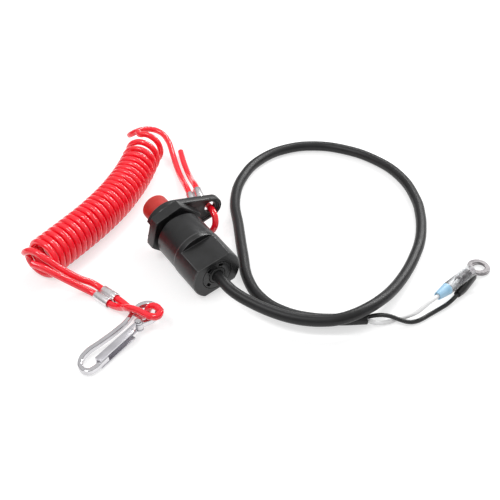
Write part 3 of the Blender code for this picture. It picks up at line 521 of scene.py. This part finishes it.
def soften(piece, width, angle=40, segments=3, highlight_looks=None):
    """Round the edges sharper than an angle, by a width in mm, and shade the rest smooth."""
    take(piece)
    if width:
        step = piece.modifiers.new("soft edges", "BEVEL")
        step.width = width * MM
        step.segments = segments
        step.limit_method = "ANGLE"
        step.angle_limit = radians(angle)
        # The bevel faces take the second look, whose lighter grey is a painted highlight.
        if highlight_looks:
            piece.data.materials.append(highlight_looks[0])
            piece.data.materials.append(highlight_looks[1])
            step.material = 1
        bpy.ops.object.modifier_apply(modifier=step.name)
    bpy.ops.object.shade_smooth_by_angle(angle=SMOOTH_BELOW)
    return piece


def settle(piece, place):
    """Carry a piece from the workbench to its place, and fix the place in its mesh."""
    piece.matrix_world = place
    take(piece)
    bpy.ops.object.transform_apply(location=True, rotation=True, scale=True)
    close_up(piece)
    print(piece.name, len(piece.data.polygons), "faces")
    return piece


# %% [markdown]
# The housing is a moulded round body with two flats at its rear and a neck with fine rings
# in front, where the real one has its thread. Ahead of the flats the body is a third of a
# millimetre slimmer, which shows as a fine line. The flats are cut from the round body
# first, so that their edges and the crescent steps get the same bevel, and the neck is
# joined on afterwards, which keeps its fine rings sharp. The bevel's own faces get a
# glossier finish in a lighter grey, which paints a thin highlight line along each edge.

# %% Switch housing
black_plastic = make_finish(
    "black_plastic", (0.007, 0.007, 0.007), (0.012, 0.012, 0.013), (0.30, 0.40),
    patch=5, grain=0.22, bump=0.12,
)
# The edge look: its lighter grey is a painted highlight on the bevel faces; its lower roughness is real
# gloss.
black_edge_highlight = make_finish(
    "black_edge_highlight", (0.060, 0.060, 0.060), (0.105, 0.105, 0.107), (0.22, 0.32),
    patch=7, grain=0.22, bump=0.08,
)
BLACK_WITH_EDGE_HIGHLIGHT = (black_plastic, black_edge_highlight)
FLAT_HALF = 9.5
FLAT_LONG = 15
CUTTER_REACH = 30
CAVITY_RADIUS = 8.0
CAVITY_FRONT = 30.0
NECK_BORE = 4.3
NECK_FRONT = 42.3
CREST_RADIUS = 9.5
VALLEY_RADIUS = 9.1
RING_PITCH = 1.5

body_steps = [
    (12.2, 34), (12.5, 33.85), (12.65, 33.5), (12.65, 18.4), (13, 17.8), (13, 0.35), (12.65, 0),
]
body = grow_rings("housing", body_steps, 96, capped=True)
for start, end in ((-CUTTER_REACH, -FLAT_HALF), (FLAT_HALF, CUTTER_REACH)):
    carve(body, [block("flat", (-CUTTER_REACH, start, -5), (CUTTER_REACH, end, FLAT_LONG))])
# The bevels get the lighter grey of the painted edge highlight.
soften(body, 0.35, angle=30, highlight_looks=BLACK_WITH_EDGE_HIGHLIGHT)
neck_steps = [(NECK_BORE, NECK_FRONT), (VALLEY_RADIUS, NECK_FRONT)]
crest = 41.7
while crest > 35.5:
    neck_steps += [(CREST_RADIUS, crest), (VALLEY_RADIUS, crest - RING_PITCH / 2)]
    crest -= RING_PITCH
neck_steps += [(CREST_RADIUS, 33.0), (NECK_BORE, 33.0), (NECK_BORE, NECK_FRONT)]
neck = grow_rings("neck", neck_steps, 96)
carve(body, [neck], "UNION")
cavity_steps = [(CAVITY_RADIUS, -2), (CAVITY_RADIUS, CAVITY_FRONT)]
carve(body, [grow_rings("cavity", cavity_steps, 72, capped=True)])
carve(body, [grow_rings("neck bore", [(NECK_BORE, 20), (NECK_BORE, 44)], 48, capped=True)])
housing = settle(soften(body, 0), body_place)
wear_finish(housing, black_plastic, "switch", "black_plastic", "switch_housing")

# %% [markdown]
# The rear is closed by an inset disc with three small recesses and a soft collar round the
# cable. The collar is rubber, duller than the body.

# %% Rear cap and cable collar
RECESS_ANGLES = (60, 120, -30)
rear_cap = grow_rings("rear_disc", [(4.6, 3), (7.7, 3), (7.7, 0), (4.6, 0), (4.6, 3)], 72)
for angle in RECESS_ANGLES:
    pocket = block("recess", (5.35, -1.2, -1), (6.95, 1.2, 1.2))
    settle(pocket, turned_by(radians(angle), "Z"))
    carve(rear_cap, [pocket])
soften(rear_cap, 0.12)
rear_cap = settle(rear_cap, body_place)
wear_finish(rear_cap, black_plastic, "switch", "black_plastic", "rear_cap")

dull_rubber = make_finish(
    "dull_rubber", (0.010, 0.010, 0.010), (0.017, 0.017, 0.017), (0.52, 0.64),
    patch=3, grain=0.25, bump=0.2,
)
collar_steps = [(3.1, 3), (4.3, 3), (4.3, 0), (4.1, -0.35), (3.8, -0.5), (3.1, -0.5), (3.1, 3)]
collar = grow_rings("cable_collar", collar_steps, 48)
collar = settle(soften(collar, 0.08), switch_place)
wear_finish(collar, dull_rubber, "switch", "cable_jacket", "cable_grommet")

# %% [markdown]
# The nut is a six-sided ring in the same plastic. A real one has its corners turned down,
# so the hexagon is kept only where a round blank with bevelled ends covers it. It is cut
# with a corner on the X axis, and turned back as it is carried to its place.

# %% Panel nut
NUT_CORNER = 15.011
NUT_REAR = 36.7
NUT_FRONT = 42.2
NUT_WORK_TURN = radians(30)
nut = grow_rings("hex_nut", [(NUT_CORNER, NUT_REAR), (NUT_CORNER, NUT_FRONT)], 6, capped=True)
settle(nut, turned_by(NUT_WORK_TURN, "Z"))
blank_steps = [(14.4, NUT_REAR), (15.02, 37.15), (15.02, 41.75), (14.4, NUT_FRONT)]
carve(nut, [grow_rings("turned blank", blank_steps, 96, capped=True)], "INTERSECT")
carve(nut, [grow_rings("nut bore", [(9.8, 30), (9.8, 50)], 72, capped=True)])
# The bevels get the lighter grey of the painted edge highlight.
soften(nut, 0.3, angle=25, highlight_looks=BLACK_WITH_EDGE_HIGHLIGHT)
nut = settle(nut, nut_place @ turned_by(-NUT_WORK_TURN, "Z"))
wear_finish(nut, black_plastic, "switch", "black_plastic", "panel_nut")

# %% [markdown]
# The fork clip is a teardrop plate: a round head with a slot that slides over the plunger,
# and a round tail with the hole for the cord. A hull wrapped round two discs gives the
# teardrop. A smaller hull sinks the pocket that leaves a rim all round on the nut's side.
# The rim of the real clip carries small moulded letters; this one is left bare.

# %% Fork clip
TAIL = -24
SLOT_RADIUS = 4.3
clip = wrap_discs("fork_clip", [(0, 0, 12.5), (TAIL, 0, 6.3)], 42.6, 46.2, 96)
carve(clip, [wrap_discs("pocket", [(0, 0, 11.1), (TAIL, 0, 4.9)], 40.6, 43.8, 96)])
carve(clip, [wrap_discs("fork slot", [(0, 0, SLOT_RADIUS), (30, 0, SLOT_RADIUS)], 40, 50, 64)])
carve(clip, [wrap_discs("cord hole", [(TAIL, 0, 3.1)], 40, 50, 48)])
# The bevels get the lighter grey of the painted edge highlight.
clip = settle(soften(clip, 0.32, angle=40, highlight_looks=BLACK_WITH_EDGE_HIGHLIGHT), switch_place)
wear_finish(clip, black_plastic, "lanyard", "black_plastic", "tether_clip")

# %% [markdown]
# The red cap is a moulded pot pressed on the plunger's stub. Its rim is rounded more than
# any other edge, since a thumb pushes on it, and its colour is a brick red that is duller
# than the cord's.

# %% Stop button
red_cap = make_finish(
    "red_cap", (0.41, 0.010, 0.006), (0.53, 0.026, 0.018), (0.42, 0.56),
    patch=4, grain=0.3, bump=0.25,
)
button_steps = [
    (3.0, 53), (3.0, 48), (6.8, 48), (7, 48.2), (7, 58.2), (6.9, 58.75), (6.62, 59.2),
    (6.2, 59.43), (5.7, 59.5), (4.9, 59.5), (4.7, 59.35),
]
button = grow_rings("red_button", button_steps, 96, capped=True)
button = settle(soften(button, 0.1, angle=50), switch_place)
wear_finish(button, red_cap, "button", "red_cap", "stop_button")

# %% [markdown]
# A ferrule is a short aluminium sleeve with two barrels side by side, squeezed on both
# strands of the cord. Two discs stretched to tubes and joined leave the valley between the
# barrels. The same piece is made once and copied for the other end of the lanyard.

# %% Ferrules
aluminium = make_finish(
    "aluminium", (0.74, 0.71, 0.72), (0.88, 0.86, 0.87), (0.20, 0.32),
    metal=1.0, patch=2.5, grain=0.25, bump=0.18,
)
BARREL_OFFSET = 2.35
CLIP_RUN = Vector((0.261, -0.965, 0)).normalized()
CLIP_SIDE = Vector((0.84, 0.227, 0.493))
HOOK_RUN = Vector((0.757, -0.653, 0)).normalized()
HOOK_SIDE = Vector((0.653, 0.757, 0))


def ferrule_place(spot, run, side):
    side = (side - run * side.dot(run)).normalized()
    return standing(spot, side, run.cross(side), run)


def twin(piece, name):
    """A copy with a mesh of its own."""
    other = piece.copy()
    other.data = piece.data.copy()
    other.name = name
    bpy.context.scene.collection.objects.link(other)
    return other


sleeve = wrap_discs("ferrule_at_clip", [(BARREL_OFFSET, 0, 2.5)], -4.5, 4.5, 48)
carve(sleeve, [wrap_discs("second barrel", [(-BARREL_OFFSET, 0, 2.5)], -4.5, 4.5, 48)], "UNION")
for side in (-BARREL_OFFSET, BARREL_OFFSET):
    carve(sleeve, [wrap_discs("bore", [(side, 0, 2.0)], -6, 6, 40)])
soften(sleeve, 0.2, angle=50)
second_sleeve = twin(sleeve, "ferrule_at_hook")
settle(sleeve, ferrule_place((0.000674, 0.04215, 0.0095), CLIP_RUN, CLIP_SIDE))
settle(second_sleeve, ferrule_place((-0.038526, -0.02915, 0.0026), HOOK_RUN, HOOK_SIDE))
wear_finish(sleeve, aluminium, "lanyard", "ferrule_aluminium", "clip_ferrule")
wear_finish(second_sleeve, aluminium, "lanyard", "ferrule_aluminium", "hook_ferrule")

# %% [markdown]
# The snap hook is a strip of plated steel bent round: a small eye for the cord, a straight
# back, a round bend and a nose. It is drawn as one line on the bench, and a rounded
# rectangle is swept along it. The swept curve becomes a mesh before it is joined with the
# tab that carries the rivet.

# %% Snap hook
plated_steel = make_finish(
    "plated_steel", (0.60, 0.59, 0.61), (0.72, 0.71, 0.73), (0.07, 0.16),
    metal=1.0, patch=8, grain=0.35, bump=0.05,
)
HOOK_LINE = [
    (0, 0), (-2.8, 1.7), (-6.2, 2.9), (-9.8, 2.4), (-12.4, -0.2), (-12.9, -3.4), (-11.2, -6.4),
    (-7.8, -7.8), (-3.5, -7), (2, -5.8), (9.8, -5.9), (18.4, -6.9), (25.5, -7.8), (30.5, -6.6),
    (33.5, -3.2), (33.2, 0.3), (30, 1.8), (26, 1.7), (22.5, 1.7),
]
STRIP_THICK = 2.2
STRIP_HIGH = 3.0
STRIP_CORNER = 0.6
CORNER_STEPS = 4
PIN_HOLE = 1.1


def rounded_section(name, wide, high, corner):
    """A closed rounded rectangle to sweep along a line, in mm."""
    section = bpy.data.curves.new(name, "CURVE")
    section.dimensions = "2D"
    spline = section.splines.new("POLY")
    spots = []
    for quarter, (sx, sy) in enumerate(((1, 1), (-1, 1), (-1, -1), (1, -1))):
        for step in range(CORNER_STEPS + 1):
            angle = pi / 2 * (quarter + step / CORNER_STEPS)
            x = sx * (wide / 2 - corner) + corner * cos(angle)
            y = sy * (high / 2 - corner) + corner * sin(angle)
            spots.append((x, y))
    spline.points.add(len(spots) - 1)
    for point, (x, y) in zip(spline.points, spots):
        point.co = (x * MM, y * MM, 0, 1)
    spline.use_cyclic_u = True
    made = bpy.data.objects.new(name, section)
    bpy.context.scene.collection.objects.link(made)
    return made


def as_mesh(curve):
    take(curve)
    bpy.ops.object.convert(target="MESH")
    return bpy.context.object


section = rounded_section("strip section", STRIP_THICK, STRIP_HIGH, STRIP_CORNER)
hook = lay_cord("hook_strip", [(x * MM, y * MM, 0) for x, y in HOOK_LINE], 0, smooth=8)
hook.data.bevel_mode = "OBJECT"
hook.data.bevel_object = section
hook = as_mesh(hook)
bpy.data.objects.remove(section, do_unlink=True)
close_up(hook)
half_high = max(abs(v.co.z) for v in hook.data.vertices) / MM
reach = max(v.co.x for v in hook.data.vertices) / MM
print("hook half height and reach in mm", round(half_high, 2), round(reach, 2))
tab = wrap_discs("tab", [(0, 0, 2.0)], -STRIP_HIGH / 2, STRIP_HIGH / 2, 48)
carve(hook, [tab], "UNION")
carve(hook, [wrap_discs("pin hole", [(0, 0, PIN_HOLE)], -5, 5, 32)])
hook = settle(soften(hook, 0), hook_place)
wear_finish(hook, plated_steel, "lanyard", "hook_steel", "snap_hook")

# %% [markdown]
# The gate is a folded channel that straddles the hook's nose. It is satin where the hook
# is bright. A block is hollowed from its open side, which leaves a web and two cheeks, and
# the cheeks end in round ears on the rivet.

# %% Gate and rivet
satin_steel = make_finish(
    "satin_steel", (0.54, 0.53, 0.56), (0.66, 0.65, 0.68), (0.24, 0.36),
    metal=1.0, patch=5, grain=0.3, bump=0.1,
)
GATE_HALF = 2.6
HOLLOW_HALF = 1.8
gate = block("gate_channel", (-1.5, -0.9, -GATE_HALF), (27, 2.6, GATE_HALF))
ears = wrap_discs("ears", [(0, 0, 2.0)], -GATE_HALF, GATE_HALF, 48)
carve(gate, [block("behind the ears", (-3, 0.5, -4), (5.5, 4, 4))])
carve(gate, [ears], "UNION")
carve(gate, [block("hollow", (-6, -0.1, -HOLLOW_HALF), (30, 6, HOLLOW_HALF))])
carve(gate, [block("mouth", (-6, -6, -HOLLOW_HALF), (3.5, 6, HOLLOW_HALF))])
carve(gate, [wrap_discs("gate pin hole", [(0, 0, PIN_HOLE)], -5, 5, 32)])
gate = settle(soften(gate, 0.2, angle=50, segments=2), hook_place)
wear_finish(gate, satin_steel, "gate", "hook_steel", "hook_gate")

rivet_steps = [
    (0.9, 3.4), (1.3, 3.25), (1.5, 2.95), (1.5, 2.9), (0.8, 2.9),
    (0.8, -2.9), (1.5, -2.9), (1.5, -2.95), (1.3, -3.25), (0.9, -3.4),
]
rivet = grow_rings("rivet", rivet_steps, 40, capped=True)
rivet = settle(soften(rivet, 0), hook_place)
wear_finish(rivet, plated_steel, "lanyard", "hook_steel", "gate_rivet")

# %% [markdown]
# Each lead ends in a ring terminal pressed from tinned sheet: a ring, a tongue and a
# barrel rolled round the bare wire and crimped in two places. It is built once from a disc,
# a block and a tube, and copied for the other lead.

# %% Ring terminals
tinned_sheet = make_finish(
    "tinned_sheet", (0.20, 0.19, 0.195), (0.30, 0.285, 0.29), (0.50, 0.65),
    metal=1.0, patch=2, grain=0.2, bump=0.05,
)
SHEET_LOW = -1.9
SHEET_HIGH = -1.1
BARREL_RADIUS = 1.9
CRIMPS = (-15.2, -12.2)
terminal = wrap_discs("ring_of_white_lead", [(0, 0, 5.3)], SHEET_LOW, SHEET_HIGH, 72)
carve(terminal, [block("tongue", (-9.3, -1.4, SHEET_LOW), (-4.5, 1.4, SHEET_HIGH))], "UNION")
carve(terminal, [wrap_discs("stud hole", [(0, 0, 3.2)], -4, 4, 56)])
barrel = grow_rings("barrel", [(BARREL_RADIUS, -17), (BARREL_RADIUS, -8.7)], 48, capped=True)
lying = turned_by(pi / 2, "Y")
carve(terminal, [settle(barrel, lying)], "UNION")
bore = grow_rings("barrel bore", [(1.35, -20), (1.35, -10.5)], 32, capped=True)
carve(terminal, [settle(bore, lying)])
for crimp in CRIMPS:
    dent = grow_rings("crimp", [(0.6, -3), (0.6, 3)], 24, capped=True)
    settle(dent, Matrix.Translation((crimp * MM, 0, 2.2 * MM)) @ turned_by(pi / 2, "X"))
    carve(terminal, [dent])
soften(terminal, 0.08, angle=50, segments=2)
second_terminal = twin(terminal, "ring_of_black_lead")
settle(terminal, white_place)
settle(second_terminal, black_place)
wear_finish(terminal, tinned_sheet, "switch", "terminal_metal", "terminal_white")
wear_finish(second_terminal, tinned_sheet, "switch", "terminal_metal", "terminal_black")

# %% [markdown]
# The white lead's terminal sits in a clear tube that shows the crimped barrel, with a sky
# blue cone behind it. The clear tube lets light through, so its look comes from its
# transmission and its gloss. The black lead has a plain black sleeve, shrunk on at its rear.

# %% Sleeves
blue_sleeve = make_finish(
    "blue_sleeve", (0.27, 0.50, 0.69), (0.38, 0.60, 0.78), (0.26, 0.38),
    patch=3, grain=0.4, bump=0.06,
)
clear_sleeve = make_finish(
    "clear_sleeve", (0.84, 0.85, 0.86), (0.90, 0.91, 0.92), (0.22, 0.32),
    patch=3, grain=0.5, bump=0.02,
)
shader_of(clear_sleeve).inputs["Transmission Weight"].default_value = 1.0
shader_of(clear_sleeve).inputs["IOR"].default_value = 1.2

cone_steps = [
    (1.35, -25.3), (2.8, -25.3), (2.96, -25.5), (2.0, -32.6), (1.95, -33), (1.35, -33), (1.35, -25.3),
]
blue = grow_rings("blue_cone", cone_steps, 56)
blue = settle(soften(blue, 0.08), white_place @ lying)
wear_finish(blue, blue_sleeve, "switch", "blue_sleeve", "sleeve_blue")
tube_steps = [(2.66, -6.5), (2.96, -6.5), (2.96, -25.0), (2.66, -25.0), (2.66, -6.5)]
clear = grow_rings("clear_tube", tube_steps, 56)
clear = settle(soften(clear, 0.06), white_place @ lying)
wear_finish(clear, clear_sleeve, "switch", "clear_sleeve", "sleeve_clear")
dark_steps = [
    (2.2, -9.6), (2.6, -9.6), (2.6, -20.5), (2.3, -23), (1.8, -25.2),
    (1.7, -26), (1.35, -26), (1.45, -25), (2.2, -20), (2.2, -9.6),
]
dark = grow_rings("black_sleeve", dark_steps, 56)
dark = settle(soften(dark, 0.12), black_place @ lying)
wear_finish(dark, black_insulation, "switch", "black_insulation", "sleeve_black")

# %% [markdown]
# What works inside the closed housing can't be seen, so the measured solids stay and only
# get likely materials: the plunger and the block are the same plastic, and the bridge and
# the contacts are brass.

# %% Inner parts
brass = make_finish(
    "brass", (0.58, 0.38, 0.14), (0.68, 0.47, 0.20), (0.20, 0.34),
    metal=1.0, patch=3, grain=0.3, bump=0.06,
)
INNER = {
    "plunger": black_plastic,
    "contact_block": black_plastic,
    "contact_bridge": brass,
    "fixed_contact_white": brass,
    "fixed_contact_black": brass,
}
for name, look in INNER.items():
    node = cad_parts[name]
    for slot in node.material_slots:
        slot.material = look
    print(name, len(node.material_slots), "slot")

# %% [markdown]
# The return spring is the one inner piece that changes its shape when the button moves, but
# it is built here in one shape. It is drawn steel wire, wound as a curve and then made a
# mesh, which is copied so that the spring has a mesh of its own.

# %% Return spring
SPRING_TURNS = 2
SPRING_RADIUS = 5.3
SPRING_LOW = 26.75
SPRING_HIGH = 29.25
SPRING_STEPS = 24
WIRE_THICK = 0.9 * MM
spring_wire = make_finish(
    "spring_wire", (0.50, 0.50, 0.51), (0.62, 0.62, 0.63), (0.22, 0.34),
    metal=1.0, patch=3, grain=0.2, bump=0.08,
)
wound = []
for i in range(SPRING_TURNS * SPRING_STEPS + 1):
    angle = 2 * pi * i / SPRING_STEPS
    height = SPRING_LOW + (SPRING_HIGH - SPRING_LOW) * i / (SPRING_TURNS * SPRING_STEPS)
    wound.append((SPRING_RADIUS * MM * cos(angle), SPRING_RADIUS * MM * sin(angle), height * MM))
spring = as_mesh(lay_cord("button_spring", wound, WIRE_THICK, smooth=2))
spring = settle(soften(spring, 0), switch_place)
wear_finish(spring, spring_wire, "switch", "spring_steel", "return_spring")
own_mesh(spring)

# %% [markdown]
# Now the four cords are listed by name.

print("declared", [cord.name for cord in (cable, lead_white, lead_black, lanyard_cord)])

# %% [markdown]
# The light is that of a catalogue picture: a long soft box behind the part, on the right,
# and a weaker one over the left shoulder. The long box draws the pale streak along every
# turn of the coil, so it is set along the directions that those turns mirror to the camera.

# %% Soft boxes
def soft_box(name, spot, aim, wide, high, watts):
    lamp = bpy.data.lights.new(name, "AREA")
    lamp.shape = "RECTANGLE"
    lamp.size = wide
    lamp.size_y = high
    lamp.energy = watts
    made = bpy.data.objects.new(name, lamp)
    made.location = spot
    made.rotation_euler = (Vector(aim) - Vector(spot)).to_track_quat("-Z", "Y").to_euler()
    bpy.context.scene.collection.objects.link(made)
    return made


FILL_SPOT = (-0.30, -0.22, 0.75)
FILL_AIM = (0.03, 0, 0)
FILL_WATTS = 2.2
soft_box("fill", FILL_SPOT, FILL_AIM, 0.30, 0.22, FILL_WATTS)

LONG_BOX_WIDTH = 0.10
LONG_BOX_WATTS = 4.2
LONG_BOX_START = Vector((0.12, 0.60, 0.62))
LONG_BOX_END = Vector((0.62, 0.36, 0.34))
COIL_SPOT = Vector((-0.045, 0.03, 0.01))
long_spot = (LONG_BOX_START + LONG_BOX_END) / 2
long_run = (LONG_BOX_END - LONG_BOX_START).normalized()
long_back = long_spot - COIL_SPOT
long_back = (long_back - long_run * long_back.dot(long_run)).normalized()
long_size = (LONG_BOX_END - LONG_BOX_START).length
long_box = soft_box("key", long_spot, COIL_SPOT, long_size, LONG_BOX_WIDTH, LONG_BOX_WATTS)
long_box.matrix_world = standing(long_spot, long_run, long_back.cross(long_run), long_back)
print("long soft box", round(long_size, 2), "m")

# %% [markdown]
# The room is dark grey at the horizon and white high up, so glossy pieces have something
# darker to mirror. Its strength is kept near one, so that a colour comes out about as it was
# written. The camera alone sees the room as plain white.

# %% Room
ROOM_STRENGTH = 0.75
world = bpy.data.worlds.new("pale room")
world.use_nodes = True
bpy.context.scene.world = world
room = world.node_tree.nodes
link = world.node_tree.links.new
away = room.new("ShaderNodeTexCoord")
split = room.new("ShaderNodeSeparateXYZ")
link(away.outputs["Generated"], split.inputs["Vector"])
walls = room.new("ShaderNodeValToRGB")
walls.color_ramp.elements[0].position = 0.0
walls.color_ramp.elements[0].color = (0.16, 0.16, 0.17, 1)
walls.color_ramp.elements[1].position = 0.7
walls.color_ramp.elements[1].color = (1.0, 1.0, 1.0, 1)
link(split.outputs["Z"], walls.inputs["Fac"])
link(walls.outputs["Color"], room["Background"].inputs["Color"])
room["Background"].inputs["Strength"].default_value = ROOM_STRENGTH
backdrop = room.new("ShaderNodeBackground")
backdrop.inputs["Color"].default_value = (1, 1, 1, 1)
room_rays = room.new("ShaderNodeLightPath")
room_choice = room.new("ShaderNodeMixShader")
link(room_rays.outputs["Is Camera Ray"], room_choice.inputs["Fac"])
link(room["Background"].outputs["Background"], room_choice.inputs[1])
link(backdrop.outputs["Background"], room_choice.inputs[2])
link(room_choice.outputs["Shader"], room["World Output"].inputs["Surface"])
print(world.name, "at strength", ROOM_STRENGTH)

# %% [markdown]
# The floor has to look pure white and still keep the soft shadow under the part. To the
# camera, and in gloss and glass, it is a dimmer floor with a glow added; to all other
# light it is plain white board.

# %% Floor
FLOOR_SIZE = 6.0
FLOOR_GLOW = 0.6
deselect()
bpy.ops.mesh.primitive_plane_add(size=FLOOR_SIZE, location=(0, 0, 0))
floor = bpy.context.object
floor.name = "floor"
board = bpy.data.materials.new("white_board")
board.use_nodes = True
parts = board.node_tree.nodes
link = board.node_tree.links.new
parts.remove(parts["Principled BSDF"])
plain = parts.new("ShaderNodeBsdfDiffuse")
plain.inputs["Color"].default_value = (0.8, 0.8, 0.8, 1)
seen = parts.new("ShaderNodeBsdfDiffuse")
seen.inputs["Color"].default_value = (0.5, 0.5, 0.5, 1)
glow = parts.new("ShaderNodeEmission")
glow.inputs["Strength"].default_value = FLOOR_GLOW
both = parts.new("ShaderNodeAddShader")
link(seen.outputs["BSDF"], both.inputs[0])
link(glow.outputs["Emission"], both.inputs[1])
floor_rays = parts.new("ShaderNodeLightPath")
either = parts.new("ShaderNodeMath")
either.operation = "MAXIMUM"
link(floor_rays.outputs["Is Camera Ray"], either.inputs[0])
link(floor_rays.outputs["Is Glossy Ray"], either.inputs[1])
every = parts.new("ShaderNodeMath")
every.operation = "MAXIMUM"
link(either.outputs["Value"], every.inputs[0])
link(floor_rays.outputs["Is Transmission Ray"], every.inputs[1])
choice = parts.new("ShaderNodeMixShader")
link(every.outputs["Value"], choice.inputs["Fac"])
link(plain.outputs["BSDF"], choice.inputs[1])
link(both.outputs["Shader"], choice.inputs[2])
link(choice.outputs["Shader"], parts["Material Output"].inputs["Surface"])
floor.data.materials.append(board)
bpy.context.scene.view_settings.view_transform = "Standard"
print(floor.name, FLOOR_SIZE, "m, glow", FLOOR_GLOW)
